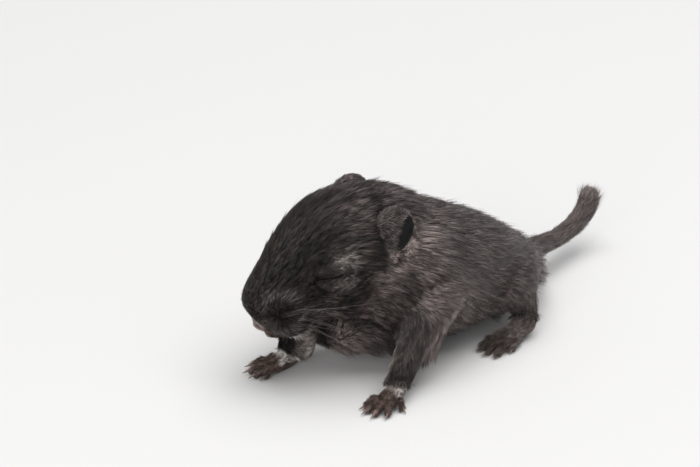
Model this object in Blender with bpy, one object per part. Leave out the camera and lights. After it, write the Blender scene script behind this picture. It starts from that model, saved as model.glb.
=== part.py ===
# A black gerbil pup, life size, standing on its four feet with its head held low and turned to its right.
# Frame: +X forward along the body, +Y to the animal's left, +Z up, in metres, floor at zero.
# The flesh is modelled whole and fused. It is then parted into the nodes that a person would name: each
# smaller piece sits in a socket that its own form, grown by the gap, has cut in what carries it.

import math
import random

import bmesh
import bpy
import numpy as np
from mathutils import Matrix, Vector

MM = 0.001
GAP = 0.3
SOCKET_GAP = 0.4
LEFT = 1
RIGHT = -1

# All the sizes below are in millimetres, and the solids reach to the coat's outer surface.
BODY_VOXEL = 0.5
BODY_SMOOTH = 9
BODY_TRIANGLES = 3600
FOOT_VOXEL = 0.2
FOOT_SMOOTH = 3
FOOT_TRIANGLES = 380
REGION_VOXEL = 0.8
REGION_TRIANGLES = 200
SEED = 7

# The trunk, from tail root to chest: place along X, sideways, middle height, half width, half height.
TRUNK = (
    (-28.6, 0.0, 6.4, 2.0, 1.9),
    (-27.2, 0.0, 6.3, 3.6, 2.9),
    (-25.0, 0.0, 6.7, 6.1, 4.1),
    (-22.5, 0.0, 7.7, 8.1, 5.7),
    (-19.5, 0.0, 8.7, 9.2, 6.7),
    (-12.0, 0.0, 10.9, 11.0, 9.3),
    (-4.0, 0.0, 12.7, 11.2, 11.2),
    (3.0, -0.4, 14.1, 10.9, 12.5),
    (9.0, -1.2, 14.6, 10.0, 13.0),
    (14.0, -2.4, 13.6, 8.4, 11.6),
    (17.4, -3.6, 11.2, 4.8, 7.4),
)

# The head has its own frame: A forward from the nose tip, B to the left, C up.
NOSE_TIP = (28.4, -10.2, 10.6)
HEAD_YAW = -20.0
HEAD_PITCH = 33.0

# The skull from nose to nape: place along A, middle height, half width, half height.
SKULL = (
    (-0.3, 0.6, 2.0, 2.2),
    (-1.0, 0.7, 3.5, 4.0),
    (-3.2, 0.6, 4.9, 5.5),
    (-6.0, 0.4, 6.0, 6.6),
    (-9.5, 0.8, 7.2, 7.5),
    (-13.5, 1.2, 8.2, 8.3),
    (-18.0, 1.1, 9.0, 8.7),
    (-23.0, 0.1, 9.3, 8.3),
    (-27.5, -1.5, 8.4, 6.7),
    (-31.0, -2.3, 5.8, 4.5),
    (-32.6, -2.5, 3.0, 2.4),
)
CHEEK = ((-14.0, 4.2, -2.6), 5.2)
WHISKER_PAD = ((-4.6, 3.1, -0.9), 3.5)
UPPER_LIP = ((-2.1, 1.3, -1.7), 2.3)
CHIN = ((-6.2, 0.0, -4.4), 2.9)
THROAT = ((-17.0, 0.0, -5.2), 7.4)

# The nape, from the back of the skull to the shoulders.
NAPE = (((11.2, -3.9, 22.8), 8.0), ((0.0, -0.2, 16.5), 9.0))

# Pieces of the head: place, half sizes along A, B and C, turns about B and C in degrees.
EYELIDS = ((-13.7, 7.1, 2.5), (3.3, 1.3, 2.1), 33.0, 10.0)
EAR = ((-25.5, 7.2, 1.0), (3.7, 2.6, 4.1), 57.0, -4.0)
EAR_CUP = ((-27.0, 9.4, 0.3), (1.95, 2.1, 3.4), 57.0, -16.0)
NOSE_PAD = ((-0.65, 0.0, -0.5), (1.1, 1.85, 1.25), 0.0, 0.0)
NOSTRIL = ((-0.15, 1.05, -0.75), (0.75, 0.3, 0.42), 0.0, -38.0)
SLIT_HALF = 2.9
SLIT_WIDTH = 0.34
MOUTH = ((-1.1, 0.0, -3.2), (-2.3, 1.0, -4.3), (-4.4, 2.5, -4.8), (-7.2, 4.3, -4.6))
PHILTRUM = ((-0.3, 0.0, -1.9), (-0.6, 0.0, -2.6), (-1.1, 0.0, -3.2))
LINE_RADIUS = 0.32

# Where head and neck end: balls about the middle of the skull, in the head's frame.
HEAD_BALL = ((-11.5, 0.0, 2.0), (16.0, 13.0, 15.5))
NECK_BALL = ((-14.0, 0.0, 1.2), (18.0, 15.5, 17.5))

# Limbs as chains of balls, place and radius, from the trunk outwards.
FORE_LIMBS = {
    "left": (
        ((5.0, 6.4, 12.5), 5.4),
        ((9.2, 8.2, 8.6), 3.6),
        ((13.6, 9.4, 5.6), 2.45),
        ((17.1, 10.2, 3.0), 2.05),
    ),
    "right": (
        ((8.0, -7.6, 12.5), 5.4),
        ((13.0, -9.2, 9.0), 3.6),
        ((17.4, -9.5, 6.2), 2.5),
        ((20.6, -9.5, 3.3), 2.05),
    ),
}
HIND_LIMBS = {
    side: (
        ((-17.4, sign * 5.0, 9.0), 5.4),
        ((-12.9, sign * 8.3, 9.0), 4.6),
        ((-13.9, sign * 10.0, 6.6), 3.0),
        ((-14.0, sign * 11.3, 3.5), 2.1),
    )
    for side, sign in (("left", LEFT), ("right", RIGHT))
}

# Feet: place of the wrist or heel on the floor, and the way that the foot points, in degrees from +X.
FORE_FEET = {"left": ((17.6, 10.5), 8.0), "right": ((21.0, -9.5), -25.0)}
HIND_FEET = {"left": ((-13.6, 11.8), -1.0), "right": ((-13.6, -11.8), 2.0)}

# A foot's own frame runs forward, to its left and up. Balls of the sole, then the toes: root place,
# turn in degrees, length and radius.
FORE_SOLE = (((0.0, 0.0, 2.1), 1.6), ((1.8, 0.0, 1.35), 1.5), ((3.0, 0.0, 1.15), 1.4))
FORE_TOES = (
    ((2.7, -1.2, 0.9), -24.0, 2.6, 0.60),
    ((3.2, -0.7, 0.9), -10.0, 3.2, 0.68),
    ((3.3, 0.2, 0.9), 3.0, 3.3, 0.70),
    ((2.9, 1.0, 0.9), 20.0, 2.8, 0.68),
    ((1.6, 1.4, 0.9), 54.0, 1.7, 0.58),
)
HIND_SOLE = (
    ((0.2, 0.0, 2.4), 1.85),
    ((2.6, 0.0, 1.55), 1.65),
    ((5.2, 0.0, 1.3), 1.7),
)
HIND_TOES = (
    ((3.4, -1.3, 0.9), -21.0, 2.6, 0.60),
    ((5.4, -1.1, 1.0), -9.0, 3.6, 0.70),
    ((5.8, 0.0, 1.0), 0.0, 3.8, 0.72),
    ((5.4, 1.1, 1.0), 9.0, 3.5, 0.70),
    ((3.5, 1.4, 0.9), 19.0, 2.6, 0.60),
)
CLAW_LENGTH = 1.25
CLAW_RADIUS = 0.34
CLAW_TIP = 0.1

# The tail's middle line and its radius along it, from root to tip.
TAIL = (
    (-25.6, 0.0, 7.2, 2.3),
    (-29.5, -0.1, 6.5, 2.1),
    (-34.4, -0.6, 5.8, 1.9),
    (-40.1, -1.2, 5.4, 1.85),
    (-45.0, -1.8, 5.9, 1.85),
    (-48.2, -2.2, 7.4, 1.8),
    (-49.7, -2.4, 9.3, 1.6),
    (-50.4, -2.5, 10.9, 1.0),
)
TAIL_JOINTS = {"tail_root": (0.0, 0.36), "tail_middle": (0.36, 0.70), "tail_tip": (0.70, 1.0)}
TAIL_SIDES = 12
TAIL_RINGS = 7
TUFT_ROWS = ((0.22, 5), (0.42, 5), (0.62, 5))
LOCK_LENGTH = 2.2
LOCK_WIDTH = 0.85
LOCK_THICK = 0.45

COLOURS = {
    "fur": ((0.020, 0.017, 0.015, 1.0), 0.75),
    "skin": ((0.22, 0.12, 0.10, 1.0), 0.55),
    "ear": ((0.016, 0.012, 0.012, 1.0), 0.65),
    "lid": ((0.060, 0.052, 0.048, 1.0), 0.70),
}


def clear_scene():
    for old in list(bpy.data.objects):
        bpy.data.objects.remove(old, do_unlink=True)


def smooth_rows(table, per_span):
    """The table's rows with smooth rows read in between, along a curve through them all."""
    rows = np.array(table, float)
    padded = np.vstack([2 * rows[0] - rows[1], rows, 2 * rows[-1] - rows[-2]])
    out = []
    for i in range(1, len(padded) - 2):
        before, here, there, after = padded[i - 1 : i + 3]
        for k in range(per_span):
            t = k / per_span
            out.append(
                here
                + 0.5 * t * (there - before)
                + 0.5 * t**2 * (2 * before - 5 * here + 4 * there - after)
                + 0.5 * t**3 * (3 * here - before - 3 * there + after)
            )
    out.append(rows[-1])
    return np.array(out)


def new_object(name, bm):
    """An object whose mesh is in metres, made from a bmesh in millimetres."""
    bmesh.ops.scale(bm, vec=(MM, MM, MM), verts=bm.verts)
    mesh = bpy.data.meshes.new(name)
    bm.to_mesh(mesh)
    bm.free()
    obj = bpy.data.objects.new(name, mesh)
    bpy.context.scene.collection.objects.link(obj)
    return obj


def apply_modifiers(obj):
    bpy.context.view_layer.update()
    graph = bpy.context.evaluated_depsgraph_get()
    mesh = bpy.data.meshes.new_from_object(obj.evaluated_get(graph))
    old = obj.data
    obj.modifiers.clear()
    obj.data = mesh
    bpy.data.meshes.remove(old)
    return obj


def largest_body(obj):
    """Keeps the largest closed surface, and drops loose scraps that a cut may leave."""
    bm = bmesh.new()
    bm.from_mesh(obj.data)
    left = set(bm.verts)
    bodies = []
    while left:
        stack = [left.pop()]
        body = set(stack)
        while stack:
            for edge in stack.pop().link_edges:
                for vert in edge.verts:
                    if vert in left:
                        left.discard(vert)
                        body.add(vert)
                        stack.append(vert)
        bodies.append(body)
    bodies.sort(key=len)
    scraps = [v for body in bodies[:-1] for v in body]
    bmesh.ops.delete(bm, geom=scraps, context="VERTS")
    bmesh.ops.triangulate(bm, faces=bm.faces)
    bm.to_mesh(obj.data)
    bm.free()
    return obj


def boolean(obj, other, operation):
    """obj changed by other, which is then removed."""
    cut = obj.modifiers.new("cut", "BOOLEAN")
    cut.operation = operation
    cut.solver = "EXACT"
    cut.object = other
    apply_modifiers(obj)
    bpy.data.objects.remove(other, do_unlink=True)
    return largest_body(obj)


def copy_of(obj, name):
    twin = bpy.data.objects.new(name, obj.data.copy())
    bpy.context.scene.collection.objects.link(twin)
    return twin


def fuse(obj, voxel, smooth_steps, triangles=None):
    """Shells that overlap become one skin, with soft folds where they meet."""
    remesh = obj.modifiers.new("fuse", "REMESH")
    remesh.mode = "VOXEL"
    remesh.voxel_size = voxel * MM
    smooth = obj.modifiers.new("smooth", "SMOOTH")
    smooth.factor = 0.5
    smooth.iterations = smooth_steps
    apply_modifiers(obj)
    if triangles:
        count = sum(len(p.vertices) - 2 for p in obj.data.polygons)
        coarser = obj.modifiers.new("coarser", "DECIMATE")
        coarser.ratio = min(1.0, triangles / count)
        apply_modifiers(obj)
    return obj


def add_rings(bm, rings):
    """A closed skin over rings that all have the same number of points."""
    loops = [[bm.verts.new(p) for p in ring] for ring in rings]
    count = len(loops[0])
    for near, far in zip(loops, loops[1:]):
        for i in range(count):
            j = (i + 1) % count
            bm.faces.new((near[i], near[j], far[j], far[i]))
    bm.faces.new(loops[0][::-1])
    bm.faces.new(loops[-1])


def oval(centre, side, up, half_width, half_height, count=28):
    turn = 2 * math.pi / count
    return [
        centre
        + side * (half_width * math.cos(i * turn))
        + up * (half_height * math.sin(i * turn))
        for i in range(count)
    ]


def add_ball(bm, place, radius, frame=Matrix.Identity(4), fine=3):
    bmesh.ops.create_icosphere(
        bm,
        subdivisions=fine,
        radius=radius,
        matrix=frame @ Matrix.Translation(Vector(place)),
    )


def add_chain(bm, knots, frame=Matrix.Identity(4), grow=0.0, fine=3):
    """A limb: the hull of each ball and the next."""
    for pair in zip(knots, knots[1:]):
        link = bmesh.new()
        for place, radius in pair:
            add_ball(link, place, radius + grow, frame, fine)
        hull = bmesh.ops.convex_hull(link, input=link.verts)
        inside = {g for g in hull["geom_interior"] if isinstance(g, bmesh.types.BMVert)}
        bmesh.ops.delete(link, geom=list(inside), context="VERTS")
        keep = bpy.data.meshes.new("link")
        link.to_mesh(keep)
        link.free()
        bm.from_mesh(keep)
        bpy.data.meshes.remove(keep)


def head_frame():
    return (
        Matrix.Translation(Vector(NOSE_TIP))
        @ Matrix.Rotation(math.radians(HEAD_YAW), 4, "Z")
        @ Matrix.Rotation(math.radians(HEAD_PITCH), 4, "Y")
    )


def lens(name, form, sign, grow=0.0, count=16, rows=9):
    """An ellipsoid of the head: on the left as written, or mirrored to the right."""
    place, half, lean, swing = form
    bm = bmesh.new()
    bmesh.ops.create_uvsphere(bm, u_segments=count, v_segments=rows, radius=1.0)
    sizes = Matrix.Diagonal([h + grow for h in half] + [1.0])
    turned = (
        Matrix.Translation(Vector((place[0], place[1] * sign, place[2])))
        @ Matrix.Rotation(math.radians(swing * sign), 4, "Z")
        @ Matrix.Rotation(math.radians(-lean), 4, "Y")
    )
    bm.transform(head_frame() @ turned @ sizes)
    return new_object(name, bm)


def add_trunk(bm):
    side, up = Vector((0, -1, 0)), Vector((0, 0, 1))
    rows = smooth_rows(TRUNK, 4)
    add_rings(bm, [oval(Vector((x, y, z)), side, up, w, h) for x, y, z, w, h in rows])


def add_head(bm):
    frame = head_frame()
    side, up = Vector((0, 1, 0)), Vector((0, 0, 1))
    rows = smooth_rows(SKULL, 4)
    rings = [oval(Vector((a, 0, c)), side, up, w, h) for a, c, w, h in rows]
    add_rings(bm, [[frame @ p for p in ring] for ring in rings])
    for (a, b, c), radius in (CHEEK, WHISKER_PAD, UPPER_LIP):
        for sign in (LEFT, RIGHT):
            add_ball(bm, (a, b * sign, c), radius, frame)
    for place, radius in (CHIN, THROAT):
        add_ball(bm, place, radius, frame)


def build_flesh():
    bm = bmesh.new()
    add_trunk(bm)
    add_head(bm)
    add_chain(bm, NAPE)
    for side in ("left", "right"):
        add_chain(bm, FORE_LIMBS[side])
        add_chain(bm, HIND_LIMBS[side])
    bmesh.ops.recalc_face_normals(bm, faces=bm.faces)
    return fuse(new_object("flesh", bm), BODY_VOXEL, BODY_SMOOTH, BODY_TRIANGLES)


def limb_region(knots):
    """A closed form that holds all of a limb, and ends in a round root inside the trunk."""
    first, *rest = knots
    wide = [(first[0], first[1])] + [(p, r + 1.6) for p, r in rest]
    (x, y, z), r = wide[-1]
    wide.append(((x + 0.5, y, z - 3.0), r))
    bm = bmesh.new()
    add_chain(bm, wide)
    bmesh.ops.recalc_face_normals(bm, faces=bm.faces)
    return fuse(new_object("region", bm), REGION_VOXEL, 2, REGION_TRIANGLES)


def grown(obj, by):
    """A copy whose surface lies further out everywhere."""
    twin = copy_of(obj, "grown")
    push = twin.modifiers.new("push", "DISPLACE")
    push.strength = by * MM
    push.mid_level = 0.0
    return apply_modifiers(twin)


def foot_frame(feet, side):
    (x, y), turn = feet[side]
    return Matrix.Translation(Vector((x, y, 0))) @ Matrix.Rotation(
        math.radians(turn), 4, "Z"
    )


def toe_line(toe, sign):
    """A toe's root, its raised knuckle and its tip on the floor, in the foot's frame."""
    (f, s, u), turn, length, radius = toe
    way = Vector((math.cos(math.radians(turn)), math.sin(math.radians(turn)) * sign, 0))
    root = Vector((f, s * sign, u))
    knuckle = root + way * (length * 0.5) + Vector((0, 0, 0.45))
    tip = root + way * length
    tip.z = radius * 0.85
    return root, knuckle, tip, way, radius


def claw(frame, tip, way, radius):
    """A curved, tapered claw that grows from a toe's tip and points down to the floor."""
    up = Vector((0, 0, 1))
    side = way.cross(up)
    rings = []
    for k, (out, drop) in enumerate(((-0.4, 0.0), (0.5, 0.1), (1.0, 0.6))):
        size = CLAW_RADIUS + (CLAW_TIP - CLAW_RADIUS) * k / 2
        lift = 0.18
        centre = tip + way * (radius * 0.6 + out * CLAW_LENGTH) + up * (lift - drop * 0.75)
        rings.append([frame @ p for p in oval(centre, side, up, size, size * 1.15, 5)])
    bm = bmesh.new()
    add_rings(bm, rings)
    bmesh.ops.recalc_face_normals(bm, faces=bm.faces)
    return new_object("claw", bm)


def build_foot(name, frame, sole, toes, sign):
    bm = bmesh.new()
    add_chain(bm, sole, frame)
    lines = [toe_line(toe, sign) for toe in toes]
    for root, knuckle, tip, _, radius in lines:
        balls = ((root, radius * 1.15), (knuckle, radius), (tip, radius * 0.8))
        add_chain(bm, balls, frame)
    bmesh.ops.recalc_face_normals(bm, faces=bm.faces)
    foot = fuse(new_object(name, bm), FOOT_VOXEL, FOOT_SMOOTH, FOOT_TRIANGLES)
    for _, _, tip, way, radius in lines:
        boolean(foot, claw(frame, tip, way, radius), "UNION")
    return stand_flat(foot)


def block(low, high):
    bm = bmesh.new()
    bmesh.ops.create_cube(bm, size=1.0)
    size = Vector(high) - Vector(low)
    middle = (Vector(high) + Vector(low)) / 2
    bm.transform(Matrix.Translation(middle) @ Matrix.Diagonal([*size, 1.0]))
    return new_object("block", bm)


def stand_flat(foot):
    """Small flats at the floor's level, under the sole and the toes."""
    return boolean(foot, block((-60, -60, -20), (60, 60, 0)), "DIFFERENCE")


def cut_socket(leg, sole, frame):
    """Room in the leg's end for the foot's ankle and sole, with the gap around them."""
    for link in zip(sole, sole[1:]):
        bm = bmesh.new()
        add_chain(bm, link, frame, grow=SOCKET_GAP, fine=2)
        bmesh.ops.recalc_face_normals(bm, faces=bm.faces)
        boolean(leg, new_object("socket", bm), "DIFFERENCE")


def build_limb(flesh, names, limb, feet, sole, toes, side):
    """Cuts one leg out of the flesh and sets its foot in it. The flesh keeps the leg's socket."""
    leg_name, foot_name = names
    frame = foot_frame(feet, side)
    leg = copy_of(flesh, leg_name)
    region = limb_region(limb)
    boolean(flesh, grown(region, GAP), "DIFFERENCE")
    boolean(leg, region, "INTERSECT")
    cut_socket(leg, sole, frame)
    foot = build_foot(foot_name, frame, sole, toes, LEFT if side == "left" else RIGHT)
    return leg, foot


def big_ball(form, grow):
    place, half = form
    bm = bmesh.new()
    bmesh.ops.create_uvsphere(bm, u_segments=22, v_segments=11, radius=1.0)
    sizes = Matrix.Diagonal([h + grow for h in half] + [1.0])
    bm.transform(head_frame() @ Matrix.Translation(Vector(place)) @ sizes)
    return new_object("ball", bm)


def line_cutter(points, frame, radius):
    """A thin tube along a drawn line, as the cutter of a groove."""
    rows = np.array(points, float)
    rings = []
    for i, here in enumerate(rows):
        along = Vector(rows[min(i + 1, len(rows) - 1)] - rows[max(i - 1, 0)]).normalized()
        side = along.cross(Vector((0, 0, 1))).normalized()
        up = side.cross(along)
        rings.append([frame @ p for p in oval(Vector(here), side, up, radius, radius, 5)])
    bm = bmesh.new()
    add_rings(bm, rings)
    bmesh.ops.recalc_face_normals(bm, faces=bm.faces)
    return new_object("line", bm)


def build_eyelids(name, sign):
    """The closed lids of one eye, which bulge over it and meet in a slit."""
    place, half, lean, swing = EYELIDS
    lids = lens(name, EYELIDS, sign)
    frame = (
        head_frame()
        @ Matrix.Translation(Vector((place[0], place[1] * sign, place[2])))
        @ Matrix.Rotation(math.radians(swing * sign), 4, "Z")
        @ Matrix.Rotation(math.radians(-lean), 4, "Y")
    )
    points = []
    for k in range(-3, 4):
        share = k / 3
        a = SLIT_HALF * share
        height = -0.55 * (1 - share**2)
        bulge = half[1] * math.sqrt(max(0.0, 1 - (a / half[0]) ** 2 - (height / half[2]) ** 2))
        points.append((a, bulge * sign, height))
    return boolean(lids, line_cutter(points, frame, SLIT_WIDTH), "DIFFERENCE")


def build_ear(name, sign):
    ear = lens(name, EAR, sign)
    return boolean(ear, lens("cup", EAR_CUP, sign, count=12, rows=7), "DIFFERENCE")


def build_nose():
    nose = lens("nose", NOSE_PAD, LEFT, count=14, rows=8)
    for sign in (LEFT, RIGHT):
        boolean(nose, lens("nostril", NOSTRIL, sign, count=8, rows=5), "DIFFERENCE")
    return nose


def build_head(flesh):
    """Head and neck cut from the flesh, with the lids, ears, nose and mouth in the head."""
    head = copy_of(flesh, "head")
    boolean(head, big_ball(HEAD_BALL, 0.0), "INTERSECT")
    boolean(flesh, big_ball(HEAD_BALL, GAP), "DIFFERENCE")
    neck = copy_of(flesh, "neck")
    boolean(neck, big_ball(NECK_BALL, 0.0), "INTERSECT")
    boolean(flesh, big_ball(NECK_BALL, GAP), "DIFFERENCE")
    frame = head_frame()
    for side, sign in (("left", LEFT), ("right", RIGHT)):
        build_eyelids("eyelids_" + side, sign)
        boolean(head, lens("socket", EYELIDS, sign, GAP), "DIFFERENCE")
        build_ear("ear_" + side, sign)
        for holder in (head, neck):
            boolean(holder, lens("socket", EAR, sign, GAP), "DIFFERENCE")
        lip = [(a, b * sign, c) for a, b, c in MOUTH]
        boolean(head, line_cutter(lip, frame, LINE_RADIUS), "DIFFERENCE")
    boolean(head, line_cutter(PHILTRUM, frame, LINE_RADIUS), "DIFFERENCE")
    build_nose()
    boolean(head, lens("socket", NOSE_PAD, LEFT, GAP, count=14, rows=8), "DIFFERENCE")


def tail_rows():
    return smooth_rows(TAIL, 8)


def tail_at(share):
    """Place, direction and radius at a share of the tail's length."""
    rows = tail_rows()
    steps = np.linalg.norm(np.diff(rows[:, :3], axis=0), axis=1)
    along = np.concatenate([[0.0], np.cumsum(steps)])
    where = share * along[-1]
    row = [np.interp(where, along, rows[:, k]) for k in range(4)]
    near, far = max(where - 0.5, 0), min(where + 0.5, along[-1])
    way = Vector(
        [np.interp(far, along, rows[:, k]) - np.interp(near, along, rows[:, k]) for k in range(3)]
    ).normalized()
    return Vector(row[:3]), way, row[3], along[-1]


def tail_ring(share, grow=0.0, count=TAIL_SIDES):
    place, way, radius, _ = tail_at(share)
    side = way.cross(Vector((0, 0, 1))).normalized()
    up = side.cross(way)
    return oval(place, side, up, radius + grow, radius + grow, count)


def tail_length(name, start, end, grow=0.0):
    bm = bmesh.new()
    shares = np.linspace(start, end, TAIL_RINGS)
    rings = [tail_ring(s, grow) for s in shares]
    add_rings(bm, rings)
    bmesh.ops.recalc_face_normals(bm, faces=bm.faces)
    return new_object(name, bm)


def lock(root, way, out, length, width, thick):
    """One flat, tapered lock of the tail's brush, which bends along its lie."""
    side = way.cross(out).normalized()
    rings = []
    for share, swell in ((-0.25, 0.8), (0.35, 1.0), (1.0, 0.25)):
        centre = root + way * (length * share) + out * (0.35 * math.sin(share * 2.2))
        rings.append(oval(centre, side, out, width * swell, thick * swell, 4))
    bm = bmesh.new()
    add_rings(bm, rings)
    bmesh.ops.recalc_face_normals(bm, faces=bm.faces)
    return new_object("lock", bm)


def add_tuft(tip, start, end):
    """The brush at the tail's end: rows of locks set on the tail and fused with it."""
    draw = random.Random(SEED)
    locks = bpy.data.collections.new("locks")
    bpy.context.scene.collection.children.link(locks)
    for row, (share, count) in enumerate(TUFT_ROWS):
        place, way, radius, _ = tail_at(start + (end - start) * share)
        side = way.cross(Vector((0, 0, 1))).normalized()
        up = side.cross(way)
        for i in range(count):
            turn = 2 * math.pi * (i + 0.5 * (row % 2)) / count + draw.uniform(-0.15, 0.15)
            out = side * math.cos(turn) + up * math.sin(turn)
            lean = (way + out * draw.uniform(-0.02, 0.06)).normalized()
            root = place + out * (radius - LOCK_THICK * 0.75)
            length = LOCK_LENGTH * draw.uniform(0.85, 1.15)
            piece = lock(root, lean, out, length, LOCK_WIDTH, LOCK_THICK)
            bpy.context.scene.collection.objects.unlink(piece)
            locks.objects.link(piece)
    union = tip.modifiers.new("brush", "BOOLEAN")
    union.operation = "UNION"
    union.solver = "EXACT"
    union.operand_type = "COLLECTION"
    union.collection = locks
    apply_modifiers(tip)
    for piece in list(locks.objects):
        bpy.data.objects.remove(piece, do_unlink=True)
    bpy.data.collections.remove(locks)
    largest_body(tip)


def build_tail(flesh):
    length = tail_at(0.0)[3]
    half_gap = GAP / length / 2
    for name, (start, end) in TAIL_JOINTS.items():
        first = start + (half_gap if start > 0 else 0)
        last = end - (half_gap if end < 1 else 0)
        piece = tail_length(name, first, last)
        if end == 1:
            add_tuft(piece, start, end)
    boolean(flesh, tail_length("socket", 0.0, 0.3, GAP), "DIFFERENCE")


def material(name):
    colour, roughness = COLOURS[name]
    made = bpy.data.materials.new(name)
    made.use_nodes = True
    shader = made.node_tree.nodes["Principled BSDF"]
    shader.inputs["Base Color"].default_value = colour
    shader.inputs["Roughness"].default_value = roughness
    return made


def finish_nodes():
    """Materials, then each node with its origin at its own middle, under one empty at the part's origin."""
    made = {name: material(name) for name in COLOURS}
    root = bpy.data.objects.new("gerbil", None)
    bpy.context.scene.collection.objects.link(root)
    nodes = [o for o in bpy.data.objects if o.type == "MESH"]
    points = np.array([v.co[:] for o in nodes for v in o.data.vertices])
    low, high = points.min(0), points.max(0)
    shift = -Vector(((low[0] + high[0]) / 2, (low[1] + high[1]) / 2, low[2]))
    for obj in nodes:
        own = np.array([v.co[:] for v in obj.data.vertices])
        middle = Vector((own.min(0) + own.max(0)) / 2)
        obj.data.transform(Matrix.Translation(-middle))
        obj.location = middle + shift
        obj.parent = root
        kind = "fur"
        if "foot" in obj.name or obj.name == "nose":
            kind = "skin"
        elif "ear" in obj.name:
            kind = "ear"
        elif "eyelids" in obj.name:
            kind = "lid"
        obj.data.materials.clear()
        obj.data.materials.append(made[kind])
    return shift


def build():
    clear_scene()
    torso = build_flesh()
    torso.name = "torso"
    for side in ("left", "right"):
        names = ("fore_leg_" + side, "fore_foot_" + side)
        build_limb(torso, names, FORE_LIMBS[side], FORE_FEET, FORE_SOLE, FORE_TOES, side)
        names = ("hind_leg_" + side, "hind_foot_" + side)
        build_limb(torso, names, HIND_LIMBS[side], HIND_FEET, HIND_SOLE, HIND_TOES, side)
    build_tail(torso)
    build_head(torso)
    return finish_nodes()


SHIFT = build()
print("shift to the origin, mm:", [round(s / MM, 2) for s in SHIFT])
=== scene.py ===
# %% [markdown]
# # A black gerbil pup, as a still, life-size model
#
# The pup stands on its four feet, with its head held low, its eyes still closed and its tail
# lifted off the floor. The solids of the part give its outline to the outer tips of the coat.
# This file dresses them: one skin under the coat, the coat itself as many thousands of small
# tufts, closed lids, cupped ears, a moist nose, bare toes with claws, and whiskers.

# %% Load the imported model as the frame
import math

import bmesh
import bpy
import numpy as np
from mathutils import Matrix, Vector, noise
from mathutils.kdtree import KDTree


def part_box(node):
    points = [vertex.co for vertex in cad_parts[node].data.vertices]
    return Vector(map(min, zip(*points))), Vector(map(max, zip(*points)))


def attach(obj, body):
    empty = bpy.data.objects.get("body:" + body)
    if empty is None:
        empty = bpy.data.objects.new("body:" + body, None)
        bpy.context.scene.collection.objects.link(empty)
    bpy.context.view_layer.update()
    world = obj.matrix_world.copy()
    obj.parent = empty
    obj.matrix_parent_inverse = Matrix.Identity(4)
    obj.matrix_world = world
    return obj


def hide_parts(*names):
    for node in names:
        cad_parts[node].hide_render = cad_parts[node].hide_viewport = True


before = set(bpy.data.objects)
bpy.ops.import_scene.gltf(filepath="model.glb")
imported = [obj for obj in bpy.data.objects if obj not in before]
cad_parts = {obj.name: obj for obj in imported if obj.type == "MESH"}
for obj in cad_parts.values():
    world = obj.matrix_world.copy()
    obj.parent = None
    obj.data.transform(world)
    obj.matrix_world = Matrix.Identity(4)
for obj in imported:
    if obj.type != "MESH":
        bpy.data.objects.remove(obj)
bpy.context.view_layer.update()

MM = 0.001
print("solids:", sorted(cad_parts))

# %% [markdown]
# The part's sizes were worked out in millimetres about a point between the shoulders and the
# hips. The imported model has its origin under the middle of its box, so each place that is
# repeated here from the part is moved by one shift. The shift is measured at the nose, and one
# ear shows that the two agree.

# %% Places and directions
NOSE_TIP = np.array((28.4, -10.2, 10.6))
HEAD_TURN = (
    Matrix.Rotation(math.radians(-20), 3, "Z") @ Matrix.Rotation(math.radians(33), 3, "Y")
)
HEAD_AXES = np.array(HEAD_TURN).T
SIDES = {"left": 1, "right": -1}


def head_place(a, b, c):
    """A place of the head: ahead of the nose tip, to the left and up, in millimetres."""
    return NOSE_TIP + np.array((a, b, c)) @ HEAD_AXES


def in_head(points):
    """The same three measures for points of the model, in millimetres."""
    return (points - NOSE_TIP) @ HEAD_AXES.T


NOSE_MIDDLE = (-0.65, 0.0, -0.5)
LID_PLACE, LID_LEAN, LID_SWING = (-13.7, 7.1, 2.5), 33, 10
EAR_PLACE, EAR_LEAN = (-25.5, 7.2, 1.0), 57
CUP_PLACE, CUP_SWING, CUP_HALF = (-27.0, 9.4, 0.3), -16, (1.95, 2.1, 3.4)


def middle_of(node):
    """The middle of a solid's box, in millimetres."""
    low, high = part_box(node)
    return np.array((low + high) / 2) / MM


SHIFT = middle_of("nose") - head_place(*NOSE_MIDDLE)
SHIFT[2] = 0.0
print("shift, mm:", SHIFT.round(2))
print("left ear, worked out here:", head_place(*EAR_PLACE).round(1))
print("left ear, in the solids:", (middle_of("ear_left") - SHIFT).round(1))

# %% [markdown]
# Ears, eyes, lips and whisker pads come in pairs, so the left one's place is written and the
# right one is its mirror image. The elbows are written out, because the forelegs don't stand
# alike.


# %% Places that come in pairs
def both_sides(place, out=0.0):
    """A place of the head on the left and on the right, and a little further out if asked."""
    a, b, c = place
    return {side: head_place(a, (b + out) * sign, c) for side, sign in SIDES.items()}


EAR_PLACES, EYE_PLACES = both_sides(EAR_PLACE), both_sides(LID_PLACE, 0.9)
LIP_PLACES = both_sides((-1.9, 1.3, -1.7))
PAD_PLACES = both_sides((-3.9, 4.2, 1.0))
ELBOW_PLACES = {"left": np.array((6.0, 8.6, 6.6)), "right": np.array((10.0, -9.4, 6.6))}
print("left eye, mm:", EYE_PLACES["left"].round(1))

# %% [markdown]
# ## Small helpers
#
# A mesh is read into arrays and written back, because a coat has far too many parts to be placed
# one by one. Every value is in millimetres until the moment it is written.


# %% Read and write meshes
def new_piece(name, bm=None, mesh=None):
    """A piece of the model that rides on its one body, from a bmesh or a mesh in metres."""
    if bm is not None:
        mesh = bpy.data.meshes.new(name)
        bm.to_mesh(mesh)
        bm.free()
    piece = bpy.data.objects.new(name, mesh)
    bpy.context.scene.collection.objects.link(piece)
    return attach(piece, "root")


def read_points(mesh):
    """A mesh's points, in millimetres and in the part's own frame."""
    flat = np.empty(len(mesh.vertices) * 3)
    mesh.vertices.foreach_get("co", flat)
    return flat.reshape(-1, 3) / MM - SHIFT


def write_points(mesh, points):
    mesh.vertices.foreach_set("co", ((points + SHIFT) * MM).ravel())
    mesh.update()


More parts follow.
